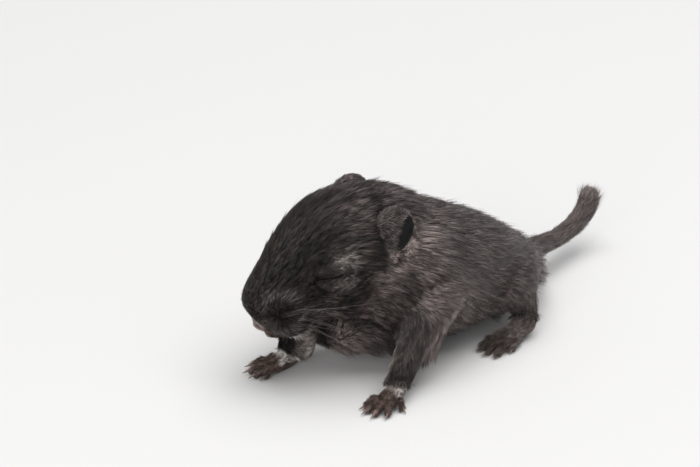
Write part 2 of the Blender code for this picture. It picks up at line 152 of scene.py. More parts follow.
def read_normals(mesh):
    flat = np.empty(len(mesh.vertices) * 3)
    mesh.vertex_normals.foreach_get("vector", flat)
    return flat.reshape(-1, 3)


def count_triangles(mesh):
    return sum(len(p.vertices) - 2 for p in mesh.polygons)


def bake_modifiers(piece):
    """Applies a piece's modifiers and keeps the result as its mesh."""
    bpy.context.view_layer.update()
    graph = bpy.context.evaluated_depsgraph_get()
    mesh = bpy.data.meshes.new_from_object(piece.evaluated_get(graph))
    old = piece.data
    piece.modifiers.clear()
    piece.data = mesh
    bpy.data.meshes.remove(old)


# %% [markdown]
# Nothing on an animal starts at a sharp edge, so lengths and colours are blended by soft steps. A
# step goes from 0 to 1, a bump rises and falls again, and both are driven by a distance in
# millimetres.


# %% Soft steps and distances
def ramp(low, high, value):
    """0 below low, 1 above high, and a soft rise between them."""
    share = np.clip((value - low) / (high - low), 0, 1)
    return share * share * (3 - 2 * share)


def bump_at(value, middle, width):
    """1 at the middle, falling softly to 0 about one width away."""
    return np.exp(-(((value - middle) / width) ** 2))


def distance(points, place):
    return np.linalg.norm(points - place, axis=1)


def near_pair(points, places, full, none):
    """1 up to so many millimetres from either place of a pair, and 0 beyond the second distance."""
    return np.maximum(*(1 - ramp(full, none, distance(points, p)) for p in places.values()))


def off_bone(points, start, end):
    """A bone's direction, and how far each point is from the bone."""
    start, end = np.array(start, float), np.array(end, float)
    bone = end - start
    share = np.clip((points - start) @ bone / (bone @ bone), 0, 1)
    return bone, distance(points - start, share[:, None] * bone)


print("a soft step, at a quarter and at half:", ramp(0, 4, np.array([1.0, 2.0])))

# %% [markdown]
# ## Materials
#
# Colours are given as sRGB hex values, as read from a swatch, and one function turns them to the
# linear values that a shader needs. One more function adds a node with its settings and its
# links.


# %% Colour and node helpers
def linear(code):
    """An sRGB hex colour as linear red, green and blue."""
    parts = [int(code[i : i + 2], 16) / 255 for i in (1, 3, 5)]
    return np.array([p / 12.92 if p <= 0.04045 else ((p + 0.055) / 1.055) ** 2.4 for p in parts])


def colour(code):
    return (*linear(code), 1.0)


def add_node(tree, kind, inputs=None, **settings):
    """A node with its settings, and each input set to a value or linked from a socket."""
    node = tree.nodes.new(kind)
    for name, value in settings.items():
        setattr(node, name, value)
    for name, value in (inputs or {}).items():
        socket = node.inputs[name]
        if isinstance(value, bpy.types.NodeSocket):
            tree.links.new(value, socket)
        else:
            socket.default_value = value
    return node


def start_material(name):
    """An empty material with its output, as a node tree to add to."""
    made = bpy.data.materials.new(name)
    made.use_nodes = True
    made.node_tree.nodes.clear()
    output = add_node(made.node_tree, "ShaderNodeOutputMaterial")
    return made, made.node_tree, output


print("charcoal, in linear values:", linear("#2a2421").round(4))

# %% [markdown]
# Fur is keratin: each hair is a clear rod with pigment inside, so a dark coat still shines grey
# where it faces the light. The tufts carry their colour as an attribute, with painted shade making
# the root darker than the tip, and the shader adds a fairly sharp gloss. The skin below is dull and
# painted dark as painted shade, so that gaps between tufts read as depth.

# %% Coat and under-skin materials
# Fur of clear keratin rods: a grey shine along the hairs over a nearly black depth.
coat_finish, tree, output = start_material("charcoal_fur")
painted = add_node(tree, "ShaderNodeAttribute", attribute_name="coat_colour")
gloss = add_node(
    tree,
    "ShaderNodeBsdfPrincipled",
    {
        "Base Color": painted.outputs["Color"],
        "Roughness": 0.32,
        "IOR": 1.55,
        "Specular IOR Level": 0.27,
    },
)
tree.links.new(gloss.outputs["BSDF"], output.inputs["Surface"])

# Skin under short fur: a matt ground with a fine grain, as of hair too short to see, painted darker
# than the coat as painted shade.
under_finish, tree, output = start_material("dark_skin_under_short_fur")
painted = add_node(tree, "ShaderNodeAttribute", attribute_name="coat_colour")
where = add_node(tree, "ShaderNodeTexCoord")
# Short hairs lie about 0.1 mm apart, drawn here at 0.18 mm so that they show.
fine = add_node(
    tree,
    "ShaderNodeTexNoise",
    {"Vector": where.outputs["Object"], "Scale": 5500.0, "Detail": 3.0},
)
relief = add_node(
    tree,
    "ShaderNodeBump",
    {"Height": fine.outputs["Fac"], "Strength": 0.6, "Distance": 0.00012},
)
skin_shader = add_node(
    tree,
    "ShaderNodeBsdfPrincipled",
    {
        "Base Color": painted.outputs["Color"],
        "Roughness": 0.85,
        "Specular IOR Level": 0.1,
        "Normal": relief.outputs["Normal"],
    },
)
tree.links.new(skin_shader.outputs["BSDF"], output.inputs["Surface"])
print("materials:", coat_finish.name, under_finish.name)

# %% [markdown]
# Bare skin of the toes and nose is a dusky pink: thin skin over blood and some dark pigment. Fine
# creases cross it, and light enters it a little way, which softens the shading.


# %% Bare skin, claw and whisker materials
def bare_skin(name, pale, dark, crease_size, roughness, shine=0.5, depth=0.25):
    """Skin with darker blotches and fine creases, shaded by the piece. Sizes in millimetres."""
    made, tree, output = start_material(name)
    where = add_node(tree, "ShaderNodeTexCoord")
    painted = add_node(tree, "ShaderNodeAttribute", attribute_name="coat_colour")
    # Blotches of pigment are about 1.5 mm across.
    blotch = add_node(
        tree,
        "ShaderNodeTexNoise",
        {"Vector": where.outputs["Object"], "Scale": 650.0, "Detail": 4.0, "Roughness": 0.6},
    )
    spread = add_node(tree, "ShaderNodeValToRGB", {"Fac": blotch.outputs["Fac"]})
    spread.color_ramp.elements[0].position = 0.38
    spread.color_ramp.elements[0].color = colour(dark)
    spread.color_ramp.elements[1].position = 0.62
    spread.color_ramp.elements[1].color = colour(pale)
    shaded = add_node(
        tree,
        "ShaderNodeVectorMath",
        {0: spread.outputs["Color"], 1: painted.outputs["Color"]},
        operation="MULTIPLY",
    )
    creases = add_node(
        tree,
        "ShaderNodeTexVoronoi",
        {"Vector": where.outputs["Object"], "Scale": 1 / (crease_size * MM)},
        feature="DISTANCE_TO_EDGE",
    )
    relief = add_node(
        tree,
        "ShaderNodeBump",
        {"Height": creases.outputs["Distance"], "Strength": 0.5, "Distance": 0.00006},
    )
    shader = add_node(
        tree,
        "ShaderNodeBsdfPrincipled",
        {
            "Base Color": shaded.outputs["Vector"],
            "Roughness": roughness,
            "Subsurface Weight": depth,
            "Subsurface Radius": (0.0008, 0.0004, 0.0003),
            "Subsurface Scale": 1.0,
            "Specular IOR Level": shine,
            "Normal": relief.outputs["Normal"],
        },
    )
    tree.links.new(shader.outputs["BSDF"], output.inputs["Surface"])
    return made


# Toes are dry and pink-brown, the nose is moist and so it shines, and an ear is thin dark skin.
toe_finish = bare_skin("dusky_pink_toe_skin", "#8f7469", "#3f302c", 0.30, 0.5)
nose_finish = bare_skin("moist_nose_skin", "#94827b", "#5d4f48", 0.16, 0.34, 0.5, 0.04)
ear_finish = bare_skin("thin_dark_ear_skin", "#39302d", "#221b19", 0.35, 0.6, 0.3, 0.0)

# Claws are horn: light passes a little way into them, which makes the tips look soft and glassy.
claw_finish, tree, output = start_material("pale_horn")
shader = add_node(
    tree,
    "ShaderNodeBsdfPrincipled",
    {
        "Base Color": colour("#7c6d62"),
        "Roughness": 0.3,
        "IOR": 1.54,
        "Subsurface Weight": 0.2,
        "Subsurface Radius": (0.0005, 0.0004, 0.0003),
    },
)
tree.links.new(shader.outputs["BSDF"], output.inputs["Surface"])

# A whisker is one stout, clear hair, so it catches the light as a thin pale line.
whisker_finish, tree, output = start_material("fine_pale_whisker")
shader = add_node(
    tree,
    "ShaderNodeBsdfPrincipled",
    {"Base Color": colour("#7a736e"), "Roughness": 0.35, "IOR": 1.55},
)
tree.links.new(shader.outputs["BSDF"], output.inputs["Surface"])
print("finishes:", [m.name for m in bpy.data.materials])

# %% [markdown]
# ## The lie of the coat
#
# Hair grows from the nose backwards. It runs over the head and along the back to the tail, and
# down each leg to the foot. So the lie is described by the bones under the skin: each bone has a
# direction, and a place on the skin follows the bones nearest to it.

# %% Bones and the lie of the hair
crown = head_place(-24, 0, 0)
SPINE = [
    (NOSE_TIP, crown, 8.0),
    (crown, (0, 0, 16), 9.0),
    ((0, 0, 14), (-18, 0, 9.5), 11.0),
    ((-18, 0, 9.5), (-28, 0, 6.4), 7.0),
    ((-28, 0, 6.4), (-40, -1.2, 5.4), 3.0),
    ((-40, -1.2, 5.4), (-47, -2, 6.6), 2.6),
    ((-47, -2, 6.6), (-49.8, -2.4, 10), 2.6),
]
LEG_BONES = [
    ((7, 7.4, 10.5), (13.6, 9.4, 5.6), 3.0),
    ((13.6, 9.4, 5.6), (17.3, 10.4, 1.5), 2.3),
    ((10, -8.2, 10.6), (17.4, -9.5, 6.2), 3.0),
    ((17.4, -9.5, 6.2), (21, -9.7, 1.8), 2.3),
]
for sign in SIDES.values():
    LEG_BONES.append(((-15, sign * 7.5, 9.5), (-13.9, sign * 10, 6.6), 3.2))
    LEG_BONES.append(((-13.9, sign * 10, 6.6), (-13.6, sign * 11.6, 2), 2.2))
print("bones:", len(SPINE), "of the spine and", len(LEG_BONES), "of the legs")


def along_skin(way, normals):
    """The part of each direction that runs along the skin, at length 1."""
    way = way - (way * normals).sum(1)[:, None] * normals
    return way / (np.linalg.norm(way, axis=1)[:, None] + 1e-9)


def lie_of_hair(points, normals):
    """The way that the hair points at each place, along the skin."""
    total = np.zeros_like(points)
    for start, end, reach in SPINE + LEG_BONES:
        bone, away = off_bone(points, start, end)
        total += np.exp(-2.2 * (away / reach) ** 2)[:, None] * bone / np.linalg.norm(bone)
    total /= np.linalg.norm(total, axis=1)[:, None] + 1e-9
    for pad in PAD_PLACES.values():
        away = points - pad
        reach = np.linalg.norm(away, axis=1)[:, None] + 1e-6
        total += 1.6 * bump_at(reach, 1.4, 1.5) * away / reach
    # On the flanks the hair hangs down a little.
    flank = np.abs(normals[:, 1]) * ramp(-30, -20, points[:, 0])
    total[:, 2] -= 0.28 * flank
    return along_skin(total, normals)


# %% [markdown]
# The coat isn't equally long or lifted everywhere. It is short and flat on the muzzle, longer on
# the crown, longest on the flanks, belly and rump, where it stands off the body and gives the pup
# its fluff. One function gives the length in millimetres, the lift in degrees and the thickness
# of a tuft, and both the skin and the tufts use it.


# %% Frames of the head's pieces
def head_matrix(place, lean, swing, sign):
    """The frame of a piece of the head, in metres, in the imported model's frame."""
    here = head_place(place[0], place[1] * sign, place[2]) + SHIFT
    return (
        Matrix.Translation(Vector(here * MM))
        @ HEAD_TURN.to_4x4()
        @ Matrix.Rotation(math.radians(swing * sign), 4, "Z")
        @ Matrix.Rotation(math.radians(-lean), 4, "Y")
        @ Matrix.Scale(MM, 4)
    )


def cup_frame(points, sign):
    """Points as seen from the middle of the ear's hollow, in millimetres."""
    turn = np.array(head_matrix(CUP_PLACE, EAR_LEAN, CUP_SWING, sign).inverted())
    return (points + SHIFT) * MM @ turn[:3, :3].T + turn[:3, 3]


def in_cup(points, sign):
    """Below 1 inside the hollow of the ear."""
    return np.sqrt(((cup_frame(points, sign) / np.array(CUP_HALF)) ** 2).sum(1))


print("left lid's frame, at m:", [round(v, 4) for v in head_matrix(
    LID_PLACE, LID_LEAN, LID_SWING, SIDES["left"]).translation])

# %% [markdown]
# Each line of the table in the next cell says how far a part of the body is meant, how long the
# hair is there and how far it is lifted. A later line goes over an earlier one, as the wrist's
# over the leg's.

# %% Length, lift and width of the coat
TAIL_WAY = np.array((-0.42, -0.06, 0.90))
TAIL_END = np.array((-50.0, -2.45, 11.0))


def limb_share(points):
    """1 on the free part of a leg, and 0 on the trunk."""
    share = np.zeros(len(points))
    for start, end, reach in LEG_BONES:
        _, away = off_bone(points, start, end)
        share = np.maximum(share, 1 - ramp(reach * 1.2, reach * 2.2, away))
    return share


def under_jaw(points):
    """1 on the soft part of the jaw, behind and below the mouth."""
    a, _, c = in_head(points).T
    return bump_at(a, -4.6, 3.2) * (1 - ramp(-4.8, -3.4, c))


def measure_coat(points, normals):
    """Length, lift and half width of the tufts at each place."""
    a, b, c = in_head(points).T
    x, z = points[:, 0], points[:, 2]
    off_axis = np.sqrt(b**2 + c**2)
    head = ramp(-31, -22, a) * (1 - ramp(13, 17, off_axis))
    face = ramp(-17, -6, a) * (1 - ramp(11, 14, off_axis))
    muzzle = ramp(-6, -1.5, a) * (1 - ramp(7, 9, off_axis))
    tail = 1 - ramp(-31, -28, x)
    below = ramp(0.15, 0.8, -normals[:, 2]) * (1 - tail) * (1 - face)
    rump = (1 - ramp(-26, -16, x)) * (1 - tail)
    leg = limb_share(points)
    length = 4.0 + 0.5 * below + 0.2 * rump
    lift = 10.0 + 16 * below + 9 * (rump * ramp(-29, -25, x))
    cups = 1 - ramp(1.25, 1.7, np.minimum(in_cup(points, 1), in_cup(points, -1)))
    nape = bump_at(a, -31, 3.5) * ramp(1, 4, c)
    tip = 1 - ramp(1.8, 3.6, distance(points, TAIL_END))
    facing_end = ramp(0.2, 0.9, normals @ TAIL_WAY)
    fluff = near_pair(points, ELBOW_PLACES, 2.8, 5.6) * ramp(-0.1, 0.5, -normals[:, 0])
    for part, long, raised in (
        (head, 2.9, 8),
        (face, 2.1, 8),
        (muzzle, 0.8, 14),
        (under_jaw(points), 1.8, 72),
        (near_pair(points, EAR_PLACES, 3.6, 5.0), 1.2, 9),
        (cups, 0.7, 10),
        (near_pair(points, EYE_PLACES, 3.2, 5.2), 1.1, 7),
        (near_pair(points, PAD_PLACES, 1.6, 3.4), 1.5, 20),
        (near_pair(points, LIP_PLACES, 1.0, 2.2), 0.45, 12),
        (nape, 3.0, 3),
        (tail, 2.0, 17),
        (tip, 1.5, 9),
        (tip * facing_end, 1.3, 62),
        (leg, 1.9, 11),
        (leg * (1 - ramp(2.0, 4.5, z)), 1.2, 15),
        (fluff, 4.2, 30),
    ):
        length += (long - length) * part
        lift += (raised - lift) * part
    return length, lift, 0.04 + 0.009 * length


length, lift, width = measure_coat(crown[None, :], np.array([[0.0, 0.0, 1.0]]))
print("crown: hair", length.round(1), "mm long, lifted", lift.round(0), "degrees")

# %% [markdown]
# ## Markings
#
# The coat is charcoal with a brown-grey bloom, paler below and on the cheeks, with light hair at
# the chin, round the closed eyes and in a narrow band at each wrist. The rule is written once,
# and the skin and the coat both read it, so that no edge of one shows beside the other.

# %% Colours of the coat
CHARCOAL = linear("#2a2421")
BODY = linear("#665d5a")
BELOW = linear("#857a76")
CHEEK = linear("#564c48")
PALE = linear("#a39a94")
LIP = linear("#dcbcb0")
NOSE_SKIN = linear("#78675f")
WRISTS = {"left": np.array((17.9, 10.6, 1.5)), "right": np.array((21.4, -9.7, 1.5))}


def tilted_axes(lean):
    """The directions along and across a piece of the head that leans by so many degrees."""
    turn = math.radians(lean)
    along = np.array((math.cos(turn), 0, math.sin(turn))) @ HEAD_AXES
    across = np.array((-math.sin(turn), 0, math.cos(turn))) @ HEAD_AXES
    return along, across


def blend_to(base, other, share):
    """Each colour moved part of the way to another one."""
    return base + (other - base) * share[:, None]


def add_spot(shade, points, place, tone, share, size):
    """A soft round patch of another tone about a place."""
    return blend_to(shade, tone, share * bump_at(distance(points, place), 0, size))


def on_slit(points, place):
    """How far each point is along and across the slit between two lids."""
    return (points - place) @ SLIT_WAY, (points - place) @ SLIT_UP


SLIT_WAY, SLIT_UP = tilted_axes(LID_LEAN)
EAR_WAY, EAR_UP = tilted_axes(EAR_LEAN)
print("charcoal, body and belly, linear:", CHARCOAL.round(3), BODY.round(3), BELOW.round(3))

# %% [markdown]
# The head is nearly black. Trunk and tail are brown-grey and paler below. The throat and the
# inner sides of the forelegs are paler still, and the forelegs darken again towards the wrists.


# %% Trunk, throat and legs
def shade_body(points, normals):
    """The ground colour of head, trunk, legs and tail."""
    a, b, c = in_head(points).T
    x, y, z = points.T
    near_head, leg = ramp(-32, -24, a), limb_share(points)
    behind = 1 - ramp(-5, 5, a - (-25.0 + 8 * ramp(3, -2, c)))
    shade = np.tile(CHARCOAL, (len(points), 1))
    shade = blend_to(shade, BODY, np.maximum(behind, ramp(14.0, 18.0, np.sqrt(b**2 + c**2))))
    under = ramp(0.1, 0.8, -normals[:, 2]) * (1 - leg)
    shade = blend_to(shade, BELOW, (0.75 - 0.6 * near_head) * under)
    cheek = near_head * bump_at(a, -16, 8) * (1 - ramp(-5, 4, c)) * ramp(-12, -8, c)
    shade = blend_to(shade, CHEEK, 0.7 * cheek)
    fore_leg = leg * ramp(0, 6, x)
    shade = blend_to(shade, CHARCOAL, (0.35 * leg + 0.55 * fore_leg) * (1 - ramp(4.5, 8.0, z)))
    inside = ramp(-0.2, 1.0, -np.sign(y) * normals[:, 1] - 0.4 * normals[:, 0])
    inside = inside * fore_leg * ramp(3.0, 4.5, z) * (1 - ramp(9.0, 12.0, z))
    shade = blend_to(shade, PALE * 1.8, 0.8 * inside)
    throat = ramp(-8.5, -11.5, c) * near_head * (1 - leg)
    shade = blend_to(shade, BODY * (1.4 + 1.1 * ramp(-15, -7, a))[:, None], 0.9 * throat)
    return shade * (1 + 0.3 * (1 - ramp(-34, -29, x)))[:, None]


# %% [markdown]
# On the head, the brow and the top of the muzzle are blackest, and the crown has a paler patch as a
# painted highlight for its sheen.
# Each ear has pale hair at its foot, and the fold ahead of it is painted dark as painted shade.
# Pale hair stands over and under each closed eye, at the chin and in a faint ring round each
# whisker pad, whose middle is dark.

# %% Crown, ears, eyes and chin
HEAD_SPOTS = (
    ((-11.5, 6.0, 5.2), CHARCOAL * 0.5, 0.8, 4.4),
    ((-15.5, 4.2, 7.2), CHARCOAL * 0.45, 0.8, 4.2),
    ((-11.0, 2.4, 8.2), CHARCOAL * 0.7, 0.6, 3.5),
    # Painted highlight: a paler patch on each side of the crown, for its grey sheen.
    ((-21.4, 5.0, 6.7), BODY * 1.1, 0.75, 3.6),
    ((-6.0, 1.5, 4.0), CHARCOAL * 0.4, 0.75, 3.0),
)
EAR_FOOT = np.array((-1.6, 0, -4.6)) @ HEAD_AXES


def shade_head(shade, points, normals):
    """The markings of the head, laid over the ground colour."""
    for place, tone, share, size in HEAD_SPOTS:
        for here in both_sides(place).values():
            shade = add_spot(shade, points, here, tone, share, size)
    for place in EAR_PLACES.values():
        shade = add_spot(shade, points, place + EAR_FOOT, BELOW * 1.15, 0.9, 3.6)
        ahead, tall = (points - place) @ EAR_WAY, (points - place) @ EAR_UP
        low_part = bump_at(ahead, 0.2, 2.2) * bump_at(tall, -4.6, 2.2)
        shade = blend_to(shade, BODY * 1.1, 0.8 * low_part)
        # Painted shade: the fold just ahead of the ear is painted nearly black.
        edge = 4.1 + 0.4 * np.minimum(0, tall + 1)
        crease = bump_at(ahead, edge, 1.05) * bump_at(tall, -1.0, 4.4) * (ahead > 0)
        shade = blend_to(shade, CHARCOAL * 0.3, 0.9 * crease)
    for place in EYE_PLACES.values():
        along, across = on_slit(points, place)
        above = bump_at(along, -1.6, 1.7) * bump_at(across, 2.0, 1.6)
        under = bump_at(along, -0.7, 1.8) * bump_at(across, -1.7, 1.0)
        here = distance(points, place) < 6
        shade = blend_to(shade, PALE, (0.75 * above + 0.45 * under) * here)
    a, _, c = in_head(points).T
    chin = bump_at(a, -3.0, 2.4) * (1 - ramp(-5.2, -3.6, c)) * ramp(0.35, 0.8, -normals[:, 2])
    shade = blend_to(shade, PALE * 2.4, 0.95 * chin)
    for pad in PAD_PLACES.values():
        shade = add_spot(shade, points, pad, CHARCOAL * 0.45, 0.8, 1.2)
        shade = blend_to(shade, PALE, 0.13 * bump_at(distance(points, pad), 2.8, 0.9))
    return shade


# %% [markdown]
# Last come the elbows, with the long pale hair behind them, the bare pink skin of nose and lips,
# and the white band round each wrist.


# %% Elbows, nose, lips and wrists
def nose_reach(points):
    """Below 1 on the bare skin of the nose and just behind its wings."""
    a, b, c = in_head(points).T
    return np.sqrt(((a + 1.1) / 1.8) ** 2 + (b / 2.0) ** 2 + ((c + 0.6) / 1.45) ** 2)


def mark_coat(points, normals):
    """The coat's colour at each place, in linear values."""
    shade = shade_head(shade_body(points, normals), points, normals)
    for place in ELBOW_PLACES.values():
        shade = add_spot(shade, points, place + (0, 0, 5), BELOW, 0.65, 5)
        rear = ramp(0.2, -0.2, normals[:, 0])
        shade = add_spot(shade, points, place, BELOW * 1.7, 0.9 * rear, 5.2)
    shade = blend_to(shade, NOSE_SKIN, 1 - ramp(0.95, 1.3, nose_reach(points)))
    for place in LIP_PLACES.values():
        shade = blend_to(shade, LIP, 0.95 * (1 - ramp(1.1, 2.0, distance(points, place))))
    return blend_to(shade, PALE * 4.0, 0.97 * near_pair(points, WRISTS, 1.8, 2.5))


print("crown's colour, linear:", mark_coat(crown[None, :], np.array([[0.0, 0.0, 1.0]])).round(3))

# %% [markdown]
# ## The skin
#
# The solids meet with narrow gaps, as parts of an assembly do, but an animal has one skin. Each
# solid of the flesh is copied and grown until the copies overlap. A voxel remesh then fuses them,
# smoothing takes out the facets and folds, and last the surface is drawn in by the depth of the
# coat at each place.

# %% Helpers for hulls and fused shapes
def pour(bm, joined):
    """Adds one bmesh to another, and frees it."""
    held = bpy.data.meshes.new("held")
    bm.to_mesh(held)
    bm.free()
    joined.from_mesh(held)
    bpy.data.meshes.remove(held)


def add_limb(joined, balls, frame_of):
    """The hull around each ball and the next, for a chain of balls."""
    for pair in zip(balls, balls[1:]):
        link = bmesh.new()
        for place, radius in pair:
            spot = frame_of @ Matrix.Translation(Vector(place))
            bmesh.ops.create_icosphere(link, subdivisions=3, radius=radius, matrix=spot)
        hull = bmesh.ops.convex_hull(link, input=link.verts)
        inner = [g for g in hull["geom_interior"] if isinstance(g, bmesh.types.BMVert)]
        bmesh.ops.delete(link, geom=inner, context="VERTS")
        pour(link, joined)


def smooth_over(piece, rounds):
    """Evens a piece's surface out, so many times over."""
    soften = piece.modifiers.new("soften", "SMOOTH")
    soften.factor = 0.5
    soften.iterations = rounds
    bake_modifiers(piece)


def fuse(piece, voxel, rounds):
    """Joins overlapping shells to one by a voxel remesh, and smooths its steps. In millimetres."""
    remesh = piece.modifiers.new("fuse", "REMESH")
    remesh.mode = "VOXEL"
    remesh.voxel_size = voxel * MM
    smooth_over(piece, rounds)


# %% Fuse the solids of the flesh
BODY_PARTS = [
    "head", "neck", "torso", "fore_leg_left", "fore_leg_right", "hind_leg_left", "hind_leg_right",
]
TAIL_PARTS = ["tail_root", "tail_middle", "tail_tip"]
TAIL = (
    ((-24.0, 0.0, 7.4), 2.5), ((-25.6, 0.0, 7.2), 2.3), ((-29.5, -0.1, 6.5), 2.1),
    ((-34.4, -0.6, 5.8), 1.95), ((-37.3, -0.9, 5.45), 1.9), ((-40.1, -1.2, 5.4), 1.9),
    ((-42.6, -1.5, 5.5), 1.95), ((-45.0, -1.8, 5.9), 2.0), ((-46.8, -2.0, 6.6), 2.05),
    ((-48.1, -2.2, 7.5), 2.1), ((-48.9, -2.3, 8.6), 2.05), ((-49.4, -2.4, 9.6), 1.65),
    ((-49.7, -2.45, 10.4), 0.95),
)
# How far a copy grows. An ear's copy shrinks, so that it stays inside the ear's own piece.
BODY_GROWTH, EAR_GROWTH = 0.22, -0.45
# The size of a voxel: the smaller it is, the finer the forms that outlive the fusing.
SKIN_VOXEL, FOOT_VOXEL, EAR_VOXEL = 0.33, 0.13, 0.14
joined = bmesh.new()
add_limb(joined, TAIL, Matrix.Translation(Vector(SHIFT)))
bmesh.ops.transform(joined, matrix=Matrix.Scale(MM, 4), verts=joined.verts)
for name in BODY_PARTS + ["eyelids_left", "eyelids_right", "ear_left", "ear_right"]:
    part = bmesh.new()
    part.from_mesh(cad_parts[name].data)
    bmesh.ops.remove_doubles(part, verts=part.verts, dist=1e-6)
    bmesh.ops.recalc_face_normals(part, faces=part.faces)
    part.normal_update()
    growth = EAR_GROWTH if name.startswith("ear") else BODY_GROWTH
    for vert in part.verts:
        vert.co += vert.normal * growth * MM
    pour(part, joined)
skin = new_piece("skin", joined)
fuse(skin, SKIN_VOXEL, 14)
print("skin:", len(skin.data.vertices), "points")

# %% [markdown]
# A remesh can leave small hollow shells inside the body, where solids overlap. They can't be
# seen, but they would be in the exported mesh, so only the largest connected shell is kept.


# %% Keep the outer shell
def connected_shells(bm):
    """The sets of points that hang together, the largest last."""
    left, shells = set(bm.verts), []
    while left:
        stack = [left.pop()]
        shell = set(stack)
        while stack:
            for edge in stack.pop().link_edges:
                for vert in edge.verts:
                    if vert in left:
                        left.discard(vert)
                        shell.add(vert)
                        stack.append(vert)
        shells.append(shell)
    return sorted(shells, key=len)


bm = bmesh.new()
bm.from_mesh(skin.data)
shells = connected_shells(bm)
bmesh.ops.delete(bm, geom=[v for shell in shells[:-1] for v in shell], context="VERTS")
bm.to_mesh(skin.data)
bm.free()
print("loose shells dropped:", len(shells) - 1)

# %% [markdown]
# The skin is drawn in by what the hair adds: its length times the sine of its lift, less the part
# of it that overlaps. Then the mouth is drawn as a shallow line from the nose to both corners,
# and the skin sinks a little around the lids, as it does round a real eyeball.

# %% Draw the skin in and shape the face
MOUTH = ((-1.1, 0.0, -3.2), (-2.3, 1.0, -4.3), (-4.4, 2.5, -4.8), (-7.2, 4.3, -4.6))
LIP_LINES = [
    np.array([head_place(a, b * sign, c) for a, b, c in MOUTH]) for sign in SIDES.values()
]
LEAST_DEPTH, MOST_DEPTH = 0.3, 1.9


def near_line(points, line):
    """The distance from each point to a line drawn through a few places."""
    return np.min([off_bone(points, *ends)[1] for ends in zip(line, line[1:])], axis=0)


points, normals = read_points(skin.data), read_normals(skin.data)
length, lift, _ = measure_coat(points, normals)
depth = (0.22 + 0.8 * length * np.sin(np.radians(lift))).clip(LEAST_DEPTH, MOST_DEPTH)
depth -= 1.1 * under_jaw(points)
depth += 0.55 * near_pair(points, EYE_PLACES, 2.4, 4.2)
depth += 0.75 * (1 - ramp(0.85, 1.25, nose_reach(points)))
points = points - normals * depth[:, None]
for line in LIP_LINES:
    points -= normals * (0.4 * bump_at(near_line(points, line), 0, 0.6))[:, None]
write_points(skin.data, points)
smooth_over(skin, 3)
print("coat depth, mm:", depth.min().round(2), "to", depth.max().round(2))

# %% [markdown]
# A baked texture needs a place on a flat sheet for every part of the skin. The skin is unwrapped
# by its own shape, and each tuft of the coat is later given the patch where its root stands.


# %% Unwrap a surface
def unwrap(piece):
    """Lays the piece's own shape out flat, in a map that the coat reads too."""
    bpy.ops.object.select_all(action="DESELECT")
    piece.select_set(True)
    bpy.context.view_layer.objects.active = piece
    piece.data.uv_layers.new(name="OFBake")
    bpy.ops.object.mode_set(mode="EDIT")
    bpy.ops.mesh.select_all(action="SELECT")
    bpy.ops.uv.smart_project(angle_limit=math.radians(70), island_margin=0.002)
    bpy.ops.object.mode_set(mode="OBJECT")


def paint(piece, shades):
    """Stores a colour for each point of a piece, for its material to read."""
    layer = piece.data.attributes.new("coat_colour", "FLOAT_COLOR", "POINT")
    layer.data.foreach_set("color", np.column_stack([shades, np.ones(len(shades))]).ravel())


def finish_piece(piece, finish, slot_name, *stands_for):
    """Material and smooth shading of a piece, and hides the solids that it stands for. Its slot
    name is not used.
    """
    piece.data.materials.clear()
    piece.data.materials.append(finish)
    piece.data.polygons.foreach_set("use_smooth", np.ones(len(piece.data.polygons), bool))
    piece.data.update()
    if stands_for:
        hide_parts(*stands_for)


unwrap(skin)
points, normals = read_points(skin.data), read_normals(skin.data)
# Painted shade: where hair grows, the skin is painted at 0.42 of the coat's colour for the shade
# deep in the coat; bare nose and lips get 0.92.
bare = 1 - ramp(0.95, 1.3, nose_reach(points))
bare = np.maximum(bare, near_pair(points, LIP_PLACES, 1.0, 2.0))
paint(skin, mark_coat(points, normals) * (0.42 + 0.5 * bare)[:, None])
finish_piece(skin, under_finish, "coat", *BODY_PARTS, *TAIL_PARTS)
print("skin triangles:", count_triangles(skin.data))

# %% [markdown]
# ## Tufts
#
# A tuft is a slim three-sided blade: a closed root, one bend and a tip. Ten triangles are enough
# for something a fifth of a millimetre wide, and there are over a hundred thousand of them. All
# of a piece's tufts are worked out together as arrays and joined in one mesh.


# %% Scatter roots over a surface
JITTER = 4


def read_triangles(mesh):
    """The points and the loops at the corners of each triangle."""
    mesh.calc_loop_triangles()
    total = len(mesh.loop_triangles)
    corners, loops = np.empty(total * 3, int), np.empty(total * 3, int)
    mesh.loop_triangles.foreach_get("vertices", corners)
    mesh.loop_triangles.foreach_get("loops", loops)
    return corners.reshape(-1, 3), loops.reshape(-1, 3)


def scatter(piece, count, density, draw):
    """Places spread evenly over a surface: position, normal and place on the unwrapped sheet."""
    mesh = piece.data
    corners, loops = read_triangles(mesh)
    points, normals = read_points(mesh), read_normals(mesh)
    sheet = np.empty(len(mesh.loops) * 2)
    mesh.uv_layers["OFBake"].data.foreach_get("uv", sheet)
    sheet = sheet.reshape(-1, 2)
    p0, p1, p2 = points[corners[:, 0]], points[corners[:, 1]], points[corners[:, 2]]
    weight = np.linalg.norm(np.cross(p1 - p0, p2 - p0), axis=1) / 2
    weight = weight * density((p0 + p1 + p2) / 3, normals[corners[:, 0]])
    steps = np.cumsum(weight) / weight.sum()
    # Even steps along the list of triangles, each moved by up to a few steps: this leaves neither
    # the rows of a grid nor the gaps of pure chance.
    at = (np.arange(count) + JITTER * draw.random(count)) / (count + JITTER - 1)
    chosen = np.minimum(np.searchsorted(steps, at), len(corners) - 1)
    share = draw.random((count, 2))
    over = share.sum(1) > 1
    share[over] = 1 - share[over]
    share = np.column_stack([1 - share.sum(1), share])[:, :, None]
    root = (points[corners[chosen]] * share).sum(1)
    normal = (normals[corners[chosen]] * share).sum(1)
    normal /= np.linalg.norm(normal, axis=1)[:, None] + 1e-9
    return root, normal, (sheet[loops[chosen]] * share).sum(1)


print("the skin's triangles, for scattering:", len(read_triangles(skin.data)[0]))

